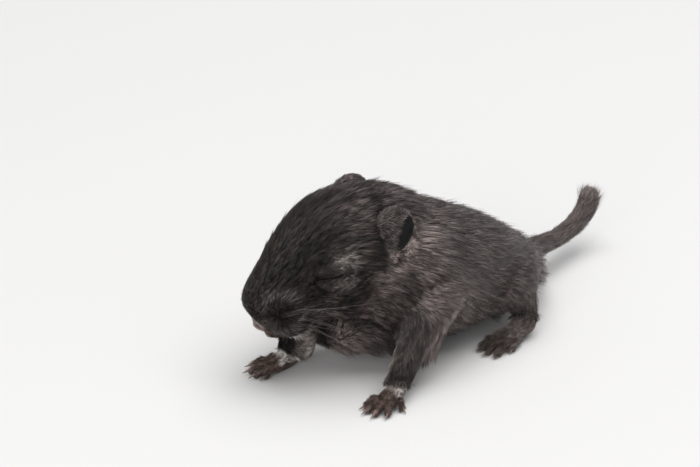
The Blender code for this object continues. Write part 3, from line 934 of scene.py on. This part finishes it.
# %% [markdown]
# Neighbouring hairs lean together, because each one grew through the same fold of skin. So every
# tuft is drawn part of the way to the tip of the nearest leader, and leaders stand about a
# millimetre apart. A slow wave turns the lie to and fro, which breaks up the combed look.


# %% Lie, strays and clumps
def sway_lie(roots, normals, lie, draw):
    """The lie along the skin, turned by a slow wave and a little chance."""
    x, y, z = roots.T
    lie = along_skin(lie, normals)
    sway = 0.10 * np.sin(x * 0.45 + z * 0.6) + 0.07 * np.sin(y * 0.7 - x * 0.3 + 1.7)
    sway += draw.normal(0, 0.09, len(roots))
    return lie * np.cos(sway)[:, None] + np.cross(lie, normals) * np.sin(sway)[:, None]


def pick_strays(roots, draw):
    """Which tufts are long single hairs, how much longer they are, and the lift they gain."""
    x = roots[:, 0]
    on_head = ramp(-31, -26, in_head(roots)[:, 0])
    on_tail = 1 - ramp(-31, -27, x)
    rump = (1 - ramp(-27, -18, x)) * ramp(-28, -24.5, x) * (1 - on_tail)
    brush = 1 - ramp(2.5, 6.0, distance(roots, TAIL_END))
    stray = draw.random(len(roots)) < 0.05 + 0.06 * rump - 0.03 * on_tail + 0.16 * brush
    gained = 9 + 9 * rump - 5 * on_head - 7 * on_tail + 12 * brush
    return stray, 1.3 + 0.25 * rump + 0.45 * brush, gained


def gather(roots, tips, draw, per_clump, pull):
    """Moves each tip part of the way to its leader's, and gives each leader's group a tone."""
    leaders = draw.choice(len(roots), max(1, len(roots) // per_clump), replace=False)
    tree = KDTree(len(leaders))
    for i, leader in enumerate(leaders):
        tree.insert(roots[leader], i)
    tree.balance()
    nearest = leaders[[tree.find(place)[1] for place in roots]]
    hold = pull * (1 - ramp(0.8, 2.2, distance(roots, roots[nearest])))
    tone = np.exp(draw.normal(-0.05, 0.42, len(roots)))[nearest]
    return tips + (tips[nearest] - tips) * hold[:, None], tone


crown_lie = lie_of_hair(crown[None, :], np.array([[0.0, 0.0, 1.0]]))
print("the hair of the crown points to", crown_lie.round(2))

# %% [markdown]
# A tuft leaves the skin steeply and flattens towards its tip. Its three points at the root are
# sunk a little, so that no gap shows, three more stand round the bend, and the seventh is the
# tip.


# %% Shape of a tuft
TUFT_FACES = [
    (2, 1, 0), (0, 1, 4, 3), (1, 2, 5, 4), (2, 0, 3, 5), (3, 4, 6), (4, 5, 6), (5, 3, 6),
]
TUFT_POINTS, TUFT_TRIANGLES = 7, 10
# The share of a tuft before its bend. Then, in millimetres, how deep its root is and how low it may
# hang.
TO_BEND, SUNK, ABOVE_FLOOR = 0.45, 0.12, 0.02


def rise(lie, normals, turn):
    """The lie, raised off the skin by an angle."""
    return lie * np.cos(turn)[:, None] + normals * np.sin(turn)[:, None]


def bend_tufts(roots, normals, lie, sizes, draw, per_clump, pull):
    """The points of every tuft, which tufts stray, and the tone of each one's clump."""
    count = len(roots)
    length, lift, width = sizes
    length = length * draw.uniform(0.72, 1.22, count)
    stray, longer, gained = pick_strays(roots, draw)
    length = np.where(stray, length * longer, length)
    width = np.where(stray, width * 0.6, width * draw.uniform(0.75, 1.2, count))
    raised = np.radians(lift * draw.uniform(0.6, 1.35, count) + np.where(stray, gained, 0))
    middle = roots + rise(lie, normals, raised * 1.45) * (length * TO_BEND)[:, None]
    tips = middle + rise(lie, normals, raised * 0.55) * (length * (1 - TO_BEND))[:, None]
    tips, clump_tone = gather(roots, tips, draw, per_clump, pull)
    middle += (roots + (tips - roots) * TO_BEND - middle) * 0.35
    side = np.cross(lie, normals)
    shape = np.zeros((count, TUFT_POINTS, 3))
    for i, turn in enumerate((0.0, 2 * math.pi / 3, 4 * math.pi / 3)):
        around = side * math.cos(turn) + normals * (0.6 * math.sin(turn))
        shape[:, i] = roots - normals * SUNK + around * (width * 0.8)[:, None]
        shape[:, 3 + i] = middle + around * width[:, None]
    shape[:, 6] = tips
    shape[:, :, 2] = np.maximum(shape[:, :, 2], ABOVE_FLOOR)
    return shape, stray, clump_tone


print("a tuft has", TUFT_POINTS, "points and", TUFT_TRIANGLES, "triangles")

# %% [markdown]
# No two hairs have the same tone. Each tuft gets a tone of its own, times that of its clump and
# that of a streak along the body. Strays, and one tuft in twenty besides, are pale. A tuft is
# dark at its root, where little light comes, and palest at its tip.


# %% Tones of the tufts
def streaks(roots):
    """Fine light and dark streaks that run with the lie, round the axis of head and trunk."""
    a, b, c = in_head(roots).T
    x, y, z = roots.T
    on_head = ramp(-32, -26, a)
    along = np.where(on_head > 0.5, a, x) * 0.2
    turn = np.where(on_head > 0.5, np.arctan2(b, c - 0.8), np.arctan2(y, z - 10))
    places = np.column_stack([along, 24 * np.cos(turn), 24 * np.sin(turn)])
    wave = np.array([noise.noise(Vector(v)) for v in places])
    return np.exp((0.8 + 0.5 * on_head) * wave)


def tone_tufts(roots, stray, clump_tone, contrast, draw):
    """How much lighter or darker each tuft is than the coat's colour there."""
    tone = np.exp(draw.normal(-0.1, 0.28, len(roots))).clip(0.35, 2.2)
    tone = np.where(stray | (draw.random(len(roots)) < 0.05), tone * 2.4, tone)
    return (tone * clump_tone * streaks(roots)).clip(0.2, 2.7) ** contrast


def shade_points(shades, tone):
    """The colour at each of a tuft's points, from the root to the tip."""
    ends = np.repeat((shades * tone[:, None])[:, None, :], TUFT_POINTS, axis=1)
    # Painted shade: a tuft's three root points are darkened, where little light comes into the
    # coat.
    ends[:, :3] *= 0.45
    ends[:, 3:6] *= 0.95
    ends[:, 6] = ends[:, 6] * 1.25 + 0.004
    return ends.reshape(-1, 3).clip(0, 1)


print("the crown's streak:", streaks(crown[None, :]).round(2))

# %% [markdown]
# Last, the tufts of a piece are joined. Each face needs the numbers of its points, and each point
# its place on the baked sheet: a tiny patch, just where the tuft's root stands on the skin.


# %% Join tufts in one piece
MOST_TRIANGLES = 200000
PATCH = np.stack([
    (-0.0012, 0.0012, 0.0, -0.0012, 0.0012, 0.0, 0.0),
    (0.0, 0.0, 0.0, 0.0014, 0.0014, 0.0014, 0.0028),
], axis=1)


def join_tufts(name, shape, colours, patches):
    """One mesh of tufts with their colours and their patches of the unwrapped sheet."""
    corner = np.concatenate(TUFT_FACES)
    first = np.concatenate([[0], np.cumsum([len(face) for face in TUFT_FACES])])
    base = np.arange(len(shape))[:, None]
    mesh = bpy.data.meshes.new(name)
    mesh.vertices.add(len(shape) * TUFT_POINTS)
    mesh.loops.add(len(shape) * len(corner))
    mesh.polygons.add(len(shape) * len(TUFT_FACES))
    mesh.vertices.foreach_set("co", ((shape.reshape(-1, 3) + SHIFT) * MM).ravel())
    mesh.loops.foreach_set("vertex_index", (base * TUFT_POINTS + corner).ravel())
    mesh.polygons.foreach_set("loop_start", (base * len(corner) + first[:-1]).ravel())
    mesh.update(calc_edges=True)
    piece = new_piece(name, mesh=mesh)
    paint(piece, colours)
    spots = patches[:, None, :] + PATCH
    sheet = mesh.uv_layers.new(name="OFBake")
    sheet.data.foreach_set("uv", spots[:, corner].reshape(-1))
    return piece


def build_coat(
    name, roots, normals, patches, shades, sizes, draw, pull, per_clump=14, lie=None, contrast=1.0
):
    """A piece of coat on the given roots. Without a lie, it follows the bones."""
    if lie is None:
        lie = lie_of_hair(roots, normals)
    lie = sway_lie(roots, normals, lie, draw)
    shape, stray, clump_tone = bend_tufts(roots, normals, lie, sizes, draw, per_clump, pull)
    tone = tone_tufts(roots, stray, clump_tone, contrast, draw)
    piece = join_tufts(name, shape, shade_points(shades, tone), patches)
    finish_piece(piece, coat_finish, "coat")
    triangles = len(roots) * TUFT_TRIANGLES
    assert triangles < MOST_TRIANGLES, name
    print(name, len(roots), "tufts,", triangles, "triangles")


# %% [markdown]
# ## The coat of head, body and legs
#
# Tufts are closest together on the head, where they are small, and further apart on the trunk,
# where each one covers more. The bare edge of the lids, the nose pad, the lips and the inside of
# the ears are left free. The roots are then shared out among pieces by where they stand.

# %% Where hair grows on the skin
TUFTS = 130000
MOST_TUFTS = 19500


def hair_density(points, normals):
    """How close together the tufts stand at each place, and 0 on bare skin."""
    length, _, _ = measure_coat(points, normals)
    thick = np.clip(3.0 / length, 0.85, 2.8)
    for place in EYE_PLACES.values():
        along, across = on_slit(points, place)
        on_lids = (along / 3.1) ** 2 + (across / 1.3) ** 2 < 1
        thick = np.where((distance(points, place) < 4) & on_lids, 0, thick)
    thick *= ramp(0.95, 1.15, nose_reach(points))
    for line in LIP_LINES:
        thick = thick * ramp(0.25, 0.6, near_line(points, line))
    for sign in SIDES.values():
        thick = np.where(in_cup(points, sign) < 1.03, 0, thick)
    return thick


def split_roots(roots, group):
    """Shares roots out by group, and cuts a group that is too large along the body."""
    for name in sorted(set(group)):
        own = np.flatnonzero(group == name)
        own = own[np.argsort(roots[own, 0])]
        parts = math.ceil(len(own) / MOST_TUFTS)
        for i, part in enumerate(np.array_split(own, parts)):
            yield (name if parts == 1 else f"{name}_{i + 1}"), part


roots, normals, patches = scatter(skin, TUFTS, hair_density, np.random.default_rng(11))
a, b, c = in_head(roots).T
group = np.where(a > -13, "coat_face", np.where(a > -30, "coat_head", "coat_trunk"))
group = np.where((a < -30) & (roots[:, 2] < 5.5), "coat_belly", group)
group = np.where(limb_share(roots) > 0.6, "coat_legs", group)
group = np.where(roots[:, 0] < -28.5, "coat_tail", group)
print("tufts in each group:", dict(zip(*np.unique(group, return_counts=True))))

# %% [markdown]
# Light and dark hairs stand out most on the face, and least on the trunk, the throat and the
# tail. Each line of the table in the next cell says how far a part of the body is meant, and how
# much the tufts differ there. A contrast of 1 leaves their tones as they are.

# %% Grow the coat
contrast = np.full(TUFTS, 0.65)
on_head = ramp(-32, -24, a)
for part, strength in (
    (on_head, 1.05),
    (ramp(-17, -9, a), 1.4),
    (ramp(-8.5, -11.5, c) * on_head, 0.6),
    (limb_share(roots), 0.7),
    (1 - ramp(-31, -27, roots[:, 0]), 0.55),
):
    contrast += (strength - contrast) * part
sizes = np.array(measure_coat(roots, normals))
shades = mark_coat(roots, normals)
for name, own in split_roots(roots, group):
    build_coat(
        name, roots[own], normals[own], patches[own], shades[own], sizes[:, own],
        np.random.default_rng(len(own)), pull=0.2 if name == "coat_tail" else 0.55,
        per_clump=8, contrast=contrast[own],
    )

# %% [markdown]
# ## Closed lids
#
# The eyes of a pup this young are shut. The lids are two soft pads over the eyeball that meet in
# a thin line, with the upper one a little prouder. Each pair is one rounded form that is pressed in
# along the line, and carries the shortest hair of the body. The line is painted near black, and the
# skin under the lids' hair is painted at half the coat's colour, both as painted shade.
#
# Blender's own ball lists its faces in another order in each run, so hair that is scattered on it
# would stand elsewhere each time. Built ring by ring, the ball is the same in every run.


# %% Shape of the lids
LID_HALF = (3.2, 1.05, 2.0)
LID_TUFTS = 2200


def smooth_ball(half, across=64, down=40):
    """A fine ball with the given half sizes, in millimetres, built ring by ring from below."""
    bm = bmesh.new()
    rings = []
    for i in range(down + 1):
        fall = math.pi - math.pi * i / down
        wide = math.sin(fall)
        ring = []
        # The first and the last ring are one point each.
        for j in range(across if 0 < i < down else 1):
            turn = 2 * math.pi * j / across
            spot = (wide * math.cos(turn), wide * math.sin(turn), math.cos(fall))
            ring.append(bm.verts.new([s * h for s, h in zip(spot, half)]))
        rings.append(ring)
    for below, above in zip(rings, rings[1:]):
        for j in range(across):
            left, right = j, (j + 1) % across
            corners = [ring[i % len(ring)] for ring, i in (
                (below, left), (above, left), (above, right), (below, right),
            )]
            bm.faces.new(list(dict.fromkeys(corners)))
    return bm


def lid_line(along):
    """How high the lids meet, so far along the slit. The line sags in the middle."""
    return -0.3 * (1 - (along / 2.9) ** 2)


def press_lids(bm):
    """Raises two pads on a ball, and presses in the line between them."""
    for vert in bm.verts:
        along, _, up = vert.co
        line = lid_line(along)
        open_part = max(0.0, 1 - (abs(along) / 3.0) ** 4)
        groove = math.exp(-(((up - line) / 0.2) ** 2)) * open_part
        pad = math.exp(-(((up - line - 0.55) / 0.45) ** 2)) * 0.13
        pad += math.exp(-(((up - line + 0.5) / 0.4) ** 2)) * 0.09
        vert.co *= 1 + (pad * open_part - 0.34 * groove) / 1.4


def alike(count, length, lift, width):
    """Sizes for a small piece, whose tufts are all the same."""
    return np.full(count, length), np.full(count, lift), np.full(count, width)


print("the lids' line sags by", -lid_line(0), "mm")

# %% Build the lids
for side, sign in SIDES.items():
    bm = smooth_ball(LID_HALF)
    press_lids(bm)
    spot = head_matrix(LID_PLACE, LID_LEAN, LID_SWING, sign)
    bmesh.ops.transform(bm, matrix=spot, verts=bm.verts)
    bmesh.ops.recalc_face_normals(bm, faces=bm.faces)
    lids = new_piece("lids_" + side, bm)
    unwrap(lids)
    points, normals = read_points(lids.data), read_normals(lids.data)
    along, across = on_slit(points, EYE_PLACES[side])
    # Painted shade: the line between the lids is painted near black, and their skin at half the
    # coat's colour.
    dark = bump_at(across - lid_line(along), 0, 0.36) * (1 - ramp(2.8, 3.2, np.abs(along)))
    paint(lids, blend_to(mark_coat(points, normals) * 0.5, linear("#060505"), dark))
    finish_piece(lids, under_finish, "lid", "eyelids_" + side)

    def lid_hair(places, facing):
        """Hair on both lids, but not in the line between them."""
        along, across = on_slit(places, EYE_PLACES[side])
        outside = facing @ (HEAD_AXES[1] * sign) > -0.1
        return ramp(0.1, 0.4, np.abs(across - lid_line(along))) * outside

    draw = np.random.default_rng(31)
    roots, normals, patches = scatter(lids, LID_TUFTS, lid_hair, draw)
    shades = mark_coat(roots, normals) * 1.3
    size = alike(LID_TUFTS, 1.0, 14.0, 0.045)
    build_coat("coat_lids_" + side, roots, normals, patches, shades, size, draw, pull=0.2)

# %% [markdown]
# ## Ears
#
# A gerbil's ear is a short, rounded cup that is furred outside and nearly bare inside. The solids
# give its size and hollow, and a fine remesh rounds its rim as thin skin is rounded.


# %% Build the ears
EAR_TUFTS = 4200
for side, sign in SIDES.items():
    bm = bmesh.new()
    bm.from_mesh(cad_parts["ear_" + side].data)
    bmesh.ops.remove_doubles(bm, verts=bm.verts, dist=1e-6)
    ear = new_piece("ear_shell_" + side, bm)
    fuse(ear, EAR_VOXEL, 12)
    unwrap(ear)
    points, normals = read_points(ear.data), read_normals(ear.data)
    outside = ramp(1.0, 1.12, in_cup(points, sign))
    write_points(ear.data, points - normals * (0.15 * outside)[:, None])
    # Painted shade: inside the hollow, the skin is painted darker towards its depth, down to a
    # tenth, where little light reaches.
    deep = cup_frame(points, sign)[:, 1] * -sign
    inside = (1 - outside) * ramp(-1.2, 0.9, deep)
    paint(ear, np.ones_like(points) * (1 - 0.9 * inside)[:, None])
    finish_piece(ear, ear_finish, "ear", "ear_" + side)

    def ear_hair(places, facing):
        """Hair on the back and the rim, but not in the hollow."""
        return ramp(1.0, 1.06, in_cup(places, sign))

    draw = np.random.default_rng(41)
    roots, normals, patches = scatter(ear, EAR_TUFTS, ear_hair, draw)
    shades = blend_to(mark_coat(roots, normals), BODY, np.full(EAR_TUFTS, 0.75))
    build_coat(
        "coat_ear_" + side, roots, normals, patches, shades,
        alike(EAR_TUFTS, 0.95, 12.0, 0.055), draw, pull=0.3, contrast=0.75,
    )

# %% [markdown]
# ## Nose
#
# The nose pad is bare and moist, with a nostril at each side that curls outwards like a comma,
# and a groove down the middle that runs on to the lip. One ball is pressed in along those lines,
# and the nostrils, the groove and the underside are painted darker as painted shade.

# %% Build the nose
bm = smooth_ball((1.1, 1.85, 1.25), 96, 64)
nose_painted_shade = []
for vert in bm.verts:
    ahead, out, up = vert.co
    front = 1.0 if ahead > -0.4 else 0.0
    curl = 0.6 - 0.97 * (max(0.0, abs(out) - 0.6) / 1.1) ** 2
    slot = front * math.exp(-(((abs(out) - 1.15) / 0.75) ** 2) - ((up - curl) / 0.3) ** 2)
    groove = front * math.exp(-((out / 0.13) ** 2)) * (0.5 if up > 0 else 1.0)
    vert.co *= 1 - 0.35 * slot
    vert.co.x -= 0.16 * groove
    # Painted shade: the nostrils are painted near black, and the groove and the underside are
    # painted darker.
    nose_painted_shade.append(max(0.05, 1 - slot - 0.35 * groove - 0.3 * (up < -0.6)))
bmesh.ops.transform(bm, matrix=head_matrix((-0.75, 0, -0.5), 0, 0, 1), verts=bm.verts)
bmesh.ops.recalc_face_normals(bm, faces=bm.faces)
nose_pad = new_piece("nose_pad", bm)
paint(nose_pad, np.repeat(np.array(nose_painted_shade)[:, None], 3, axis=1))
finish_piece(nose_pad, nose_finish, "nose", "nose")
print("nose triangles:", count_triangles(nose_pad.data))

# %% [markdown]
# ## Feet and claws
#
# Each foot is built as a hand would draw it: balls for the ankle, sole and knuckles, each joined
# to the next by the hull around both, then fused and smoothed. The claws are small bent cones set
# in the tips of the toes. Both follow the same sizes as the solids.

# %% Sizes of the feet
FEET = {
    "fore_foot_left": ((17.6, 10.5), 8.0, "fore"),
    "fore_foot_right": ((21.0, -9.5), -25.0, "fore"),
    "hind_foot_left": ((-13.6, 11.8), -1.0, "hind"),
    "hind_foot_right": ((-13.6, -11.8), 2.0, "hind"),
}
SOLES = {
    "fore": (((0.0, 0.0, 2.1), 1.6), ((1.8, 0.0, 1.35), 1.5), ((3.0, 0.0, 1.15), 1.4)),
    "hind": (((0.2, 0.0, 2.4), 1.85), ((2.6, 0.0, 1.55), 1.65), ((5.2, 0.0, 1.3), 1.7)),
}
TOES = {
    "fore": (
        ((2.7, -1.2, 0.9), -24.0, 2.6, 0.60),
        ((3.2, -0.7, 0.9), -10.0, 3.2, 0.68),
        ((3.3, 0.2, 0.9), 3.0, 3.3, 0.70),
        ((2.9, 1.0, 0.9), 20.0, 2.8, 0.68),
        ((1.6, 1.4, 0.9), 54.0, 1.7, 0.58),
    ),
    "hind": (
        ((3.4, -1.3, 0.9), -21.0, 2.6, 0.60),
        ((5.4, -1.1, 1.0), -9.0, 3.6, 0.70),
        ((5.8, 0.0, 1.0), 0.0, 3.8, 0.72),
        ((5.4, 1.1, 1.0), 9.0, 3.5, 0.70),
        ((3.5, 1.4, 0.9), 19.0, 2.6, 0.60),
    ),
}
CLAW_LENGTH = 1.25
FOOT_COAT = {
    "fore": {"tufts": 2600, "length": 0.85, "further": 0.0, "contrast": 1.0, "dusk": 1.0},
    "hind": {"tufts": 3400, "length": 1.35, "further": 3.8, "contrast": 0.65, "dusk": 0.72},
}
print("feet:", len(FEET), "with", len(TOES["fore"]), "and", len(TOES["hind"]), "toes")


# %% Toes and claws
def toe_line(toe, sign):
    """Root, raised knuckle and tip of a toe, its direction and its radius."""
    (ahead, out, up), turn, length, radius = toe
    way = Vector((math.cos(math.radians(turn)), math.sin(math.radians(turn)) * sign, 0))
    root = Vector((ahead, out * sign, up))
    knuckle = root + way * (length * 0.5) + Vector((0, 0, 0.45))
    tip = root + way * length
    tip.z = radius * 0.85
    return root, knuckle, tip, way, radius


def add_toe(bm, toe, sign, spot):
    """The balls of one toe, pinched between its knuckle and its tip."""
    root, knuckle, tip, _, radius = toe_line(toe, sign)
    pinch = (knuckle + tip) / 2 + Vector((0, 0, 0.05))
    balls = (
        (root, radius * 1.12), (knuckle, radius * 1.0), (pinch, radius * 0.82),
        (tip, radius * 0.86),
    )
    add_limb(bm, balls, spot)


def add_claw(claws, toe, sign, spot):
    """A small bent cone, set in the tip of a toe."""
    _, _, tip, way, radius = toe_line(toe, sign)
    cone = bmesh.ops.create_cone(
        claws, cap_ends=True, segments=10, radius1=0.27, radius2=0.05, depth=CLAW_LENGTH,
        matrix=Matrix.Identity(4),
    )
    facing = Matrix((
        (way.x, -way.y, 0, 0), (way.y, way.x, 0, 0), (0, 0, 1, 0), (0, 0, 0, 1),
    ))
    ahead = Vector((radius * 0.45 + CLAW_LENGTH * 0.5, 0, 0))
    for vert in cone["verts"]:
        share = vert.co.z / CLAW_LENGTH + 0.5
        flat = Vector((vert.co.z, vert.co.y * 0.75, vert.co.x - 0.4 * share**2))
        vert.co = spot @ (tip + Vector((0, 0, 0.22)) + facing @ (flat + ahead))


# %% [markdown]
# A foot's short hair points to the toes and leaves them bare. It is white at the wrist of a fore
# foot, and grey on a hind foot, darker towards the toes. The skin is painted darker where it
# doesn't face up, between the toes and below, as painted shade.


# %% Build the feet
def foot_colours(kind, reach, draw):
    """The colour of a foot's hair, by how far ahead of the heel it stands."""
    if kind == "hind":
        shades = np.tile(CHARCOAL * 4.0, (len(reach), 1))
        shades = blend_to(shades, BODY * 1.45, 1 - ramp(4.5, 8.5, reach))
    else:
        shades = np.tile(NOSE_SKIN * 0.75, (len(reach), 1))
    near = (1 - ramp(1.0, 2.2, reach)) * (kind == "fore")
    return blend_to(shades, PALE * 3.2, near * (draw.random(len(reach)) < 0.85))


claws = bmesh.new()
for name, (place, turn, kind) in FEET.items():
    sign, coat = SIDES[name.split("_")[-1]], FOOT_COAT[kind]
    spot = Matrix.Translation(Vector((*place, 0)) + Vector(SHIFT))
    spot = spot @ Matrix.Rotation(math.radians(turn), 4, "Z")
    bm = bmesh.new()
    add_limb(bm, SOLES[kind], spot)
    for toe in TOES[kind]:
        add_toe(bm, toe, sign, spot)
        add_claw(claws, toe, sign, spot)
    bmesh.ops.transform(bm, matrix=Matrix.Scale(MM, 4), verts=bm.verts)
    bmesh.ops.recalc_face_normals(bm, faces=bm.faces)
    foot = new_piece("bare_" + name, bm)
    fuse(foot, FOOT_VOXEL, 5)
    points = read_points(foot.data)
    points[:, 2] = np.maximum(points[:, 2], 0.0)
    write_points(foot.data, points)
    # Painted shade: the skin is painted darker where it faces sideways or down, between the toes
    # and below.
    lit_from_above = ramp(0.1, 0.8, read_normals(foot.data)[:, 2])
    paint(foot, np.ones_like(points) * (0.42 + 0.58 * lit_from_above)[:, None] * coat["dusk"])
    unwrap(foot)
    finish_piece(foot, toe_finish, "foot", name)
    ahead = np.array((math.cos(math.radians(turn)), math.sin(math.radians(turn)), 0))
    heel = np.array((*place, 0.0))

    def foot_hair(places, facing):
        """Hair on top of the foot, up to the toes."""
        reach = (places - heel) @ ahead
        return ramp(-0.1, 0.4, facing[:, 2]) * (1 - ramp(4.8, 6.6, reach - coat["further"]))

    draw = np.random.default_rng(51)
    hairs = coat["tufts"]
    roots, normals, patches = scatter(foot, hairs, foot_hair, draw)
    shades = foot_colours(kind, (roots - heel) @ ahead, draw)
    build_coat(
        "coat_" + name, roots, normals, patches, shades, alike(hairs, coat["length"], 11.0, 0.04),
        draw, pull=0.2, lie=np.tile(ahead, (hairs, 1)), contrast=coat["contrast"],
    )
    print(foot.name, count_triangles(foot.data), "triangles")

# %% [markdown]
# The claws were added in millimetres while the toes were built, and each cone is bent already. Cuts
# across its long edges split its slim faces into shorter ones.

# %% Finish the claws
long_edges = [edge for edge in claws.edges if edge.calc_length() > 1.0]
bmesh.ops.subdivide_edges(claws, edges=long_edges, cuts=5, use_grid_fill=True)
bmesh.ops.transform(claws, matrix=Matrix.Scale(MM, 4), verts=claws.verts)
bmesh.ops.recalc_face_normals(claws, faces=claws.faces)
claw_piece = new_piece("claws", claws)
finish_piece(claw_piece, claw_finish, "foot")
print("claw triangles:", count_triangles(claw_piece.data))

# %% [markdown]
# ## Whiskers
#
# Whiskers stand in short rows on both pads of the muzzle and sweep back along the cheeks. Each is
# a long thin cone that bends under its own spring. They are kept inside the model's box.


# %% One whisker
WHISKER_STEPS, WHISKER_SIDES, WHISKER_RADIUS = 7, 5, 0.028


def whisker_points(root, way, droop, length):
    """Rings round a bent line, smaller towards the tip."""
    side = np.cross(way, (0, 0, 1))
    side /= np.linalg.norm(side)
    up = np.cross(side, way)
    rings = []
    for k in range(WHISKER_STEPS):
        share = k / (WHISKER_STEPS - 1)
        middle = root + way * (length * share) + droop * (length * 0.35 * share**2)
        thick = WHISKER_RADIUS * (1 - 0.75 * share)
        for i in range(WHISKER_SIDES):
            turn = 2 * math.pi * i / WHISKER_SIDES
            rings.append(middle + (side * math.cos(turn) + up * math.sin(turn)) * thick)
    return rings


def whisker_faces(start):
    """The wall and both ends of a whisker whose points begin at this number."""
    steps, sides = WHISKER_STEPS, WHISKER_SIDES
    faces = []
    for k in range(steps - 1):
        near, far = start + k * sides, start + (k + 1) * sides
        for i in range(sides):
            j = (i + 1) % sides
            faces.append((near + i, far + i, far + j, near + j))
    faces.append([start + i for i in range(sides)])
    faces.append([start + (steps - 1) * sides + i for i in range(sides)][::-1])
    return faces


print("a whisker is", 2 * WHISKER_RADIUS, "mm across at its root")

# %% [markdown]
# Those on the side that the head turns to are shorter and closer to the cheek, so that they stay
# in the box. Place, length, direction and droop all differ by chance, because even rows look like
# a brush.


# %% Build the whiskers
def build_whiskers():
    """All whiskers in one mesh: four rows of four on each side."""
    draw = np.random.default_rng(5)
    rings, faces = [], []
    for sign in SIDES.values():
        shorter, out = (1.0, 0.75) if sign > 0 else (0.6, 0.3)
        for row in range(4):
            for place in range(4):
                a = -3.0 - 0.95 * place + draw.normal(0, 0.12)
                c = 0.9 - 0.95 * row + draw.normal(0, 0.12)
                root = head_place(a, sign * (4.4 + 0.3 * place - 0.25 * abs(row - 1.5)), c)
                length = (5.5 + 2.2 * place) * draw.uniform(0.6, 1.4) * shorter
                aim = (-0.7, sign * out, 0.2 - 0.5 * row) + draw.normal(0, 0.3, 3)
                way = aim @ HEAD_AXES / np.linalg.norm(aim)
                droop = (np.array((-0.3, -0.2 * sign, -0.3)) + draw.normal(0, 0.15, 3)) @ HEAD_AXES
                faces += whisker_faces(len(rings))
                rings += whisker_points(root, way, droop, length)
    mesh = bpy.data.meshes.new("whiskers")
    mesh.from_pydata([tuple((r + SHIFT) * MM) for r in rings], [], faces)
    return mesh


whiskers = new_piece("whiskers", mesh=build_whiskers())
finish_piece(whiskers, whisker_finish, "coat")
print("whisker triangles:", count_triangles(whiskers.data))

# %% [markdown]
# ## Floor, light and camera
#
# The pup stands on a plain pale studio floor. A large soft light overhead gives the grey shine on
# the crown and back, a weaker one fills the near side, and the bright surroundings keep the
# shadows soft.

# %% Floor
# Matt white paint shows a soft shadow and no mirror image, so nothing draws the eye from the pup.
floor_finish, tree, output = start_material("matt_white_floor")
shader = add_node(
    tree, "ShaderNodeBsdfPrincipled", {"Base Color": colour("#e5e4e3"), "Roughness": 0.75}
)
tree.links.new(shader.outputs["BSDF"], output.inputs["Surface"])
bm = bmesh.new()
bmesh.ops.create_grid(bm, x_segments=1, y_segments=1, size=1.5)
mesh = bpy.data.meshes.new("studio_floor")
bm.to_mesh(mesh)
bm.free()
mesh.materials.append(floor_finish)
studio_floor = bpy.data.objects.new("studio_floor", mesh)
bpy.context.scene.collection.objects.link(studio_floor)
print("floor:", studio_floor.name)

# %% [markdown]
# The camera sees the surroundings paler than the model is lit by them. So the backdrop is nearly
# white, and the coat keeps its dark.

# %% Surroundings and lamps
world = bpy.data.worlds.new("bright_studio")
world.use_nodes = True
bpy.context.scene.world = world
bpy.context.scene.view_settings.view_transform = "Standard"
tree = world.node_tree
seen = add_node(tree, "ShaderNodeLightPath")
strength = add_node(
    tree,
    "ShaderNodeMapRange",
    {"Value": seen.outputs["Is Camera Ray"], "To Min": 0.36, "To Max": 0.95},
)
backdrop = tree.nodes["Background"]
backdrop.inputs["Color"].default_value = colour("#f7f8fa")
tree.links.new(strength.outputs["Result"], backdrop.inputs["Strength"])


def add_softbox(name, place, target, size, power):
    """A square soft light that faces its target. Places in millimetres."""
    lamp = bpy.data.lights.new(name, "AREA")
    lamp.size = size * MM
    lamp.energy = power
    box = bpy.data.objects.new(name, lamp)
    bpy.context.scene.collection.objects.link(box)
    away = Vector(place) - Vector(target)
    box.location = Vector(place) * MM
    box.rotation_euler = away.to_track_quat("Z", "Y").to_euler()


add_softbox("overhead", (-150, 80, 1000), (5, 0, 15), 1100, 11.0)
add_softbox("fill", (420, 200, 200), (5, 0, 15), 300, 0.7)
print("lamps:", [(lamp.name, round(lamp.energy, 1)) for lamp in bpy.data.lights])

# %% [markdown]
# The camera stands where the photograph's stood: ahead of the pup on its left and a little above.
# A long lens from nearly half a metre keeps the head from looking too large.

# %% Camera
AZIMUTH, ELEVATION, DISTANCE, FIELD = 42.0, 25.0, 430.0, 117.0
target = Vector(np.array((0.0, -15.3, 15.0)) + SHIFT)
turn, tilt = math.radians(AZIMUTH), math.radians(ELEVATION)
back = Vector((
    math.cos(turn) * math.cos(tilt), math.sin(turn) * math.cos(tilt), math.sin(tilt),
))
lens = bpy.data.cameras.new("camera")
lens.sensor_width = 36.0
lens.lens = 36.0 * DISTANCE / FIELD
lens.clip_start = 0.01
camera = bpy.data.objects.new("camera", lens)
bpy.context.scene.collection.objects.link(camera)
camera.location = (target + back * DISTANCE) * MM
camera.rotation_euler = back.to_track_quat("Z", "Y").to_euler()
bpy.context.scene.camera = camera
print("lens, mm:", round(lens.lens, 1))
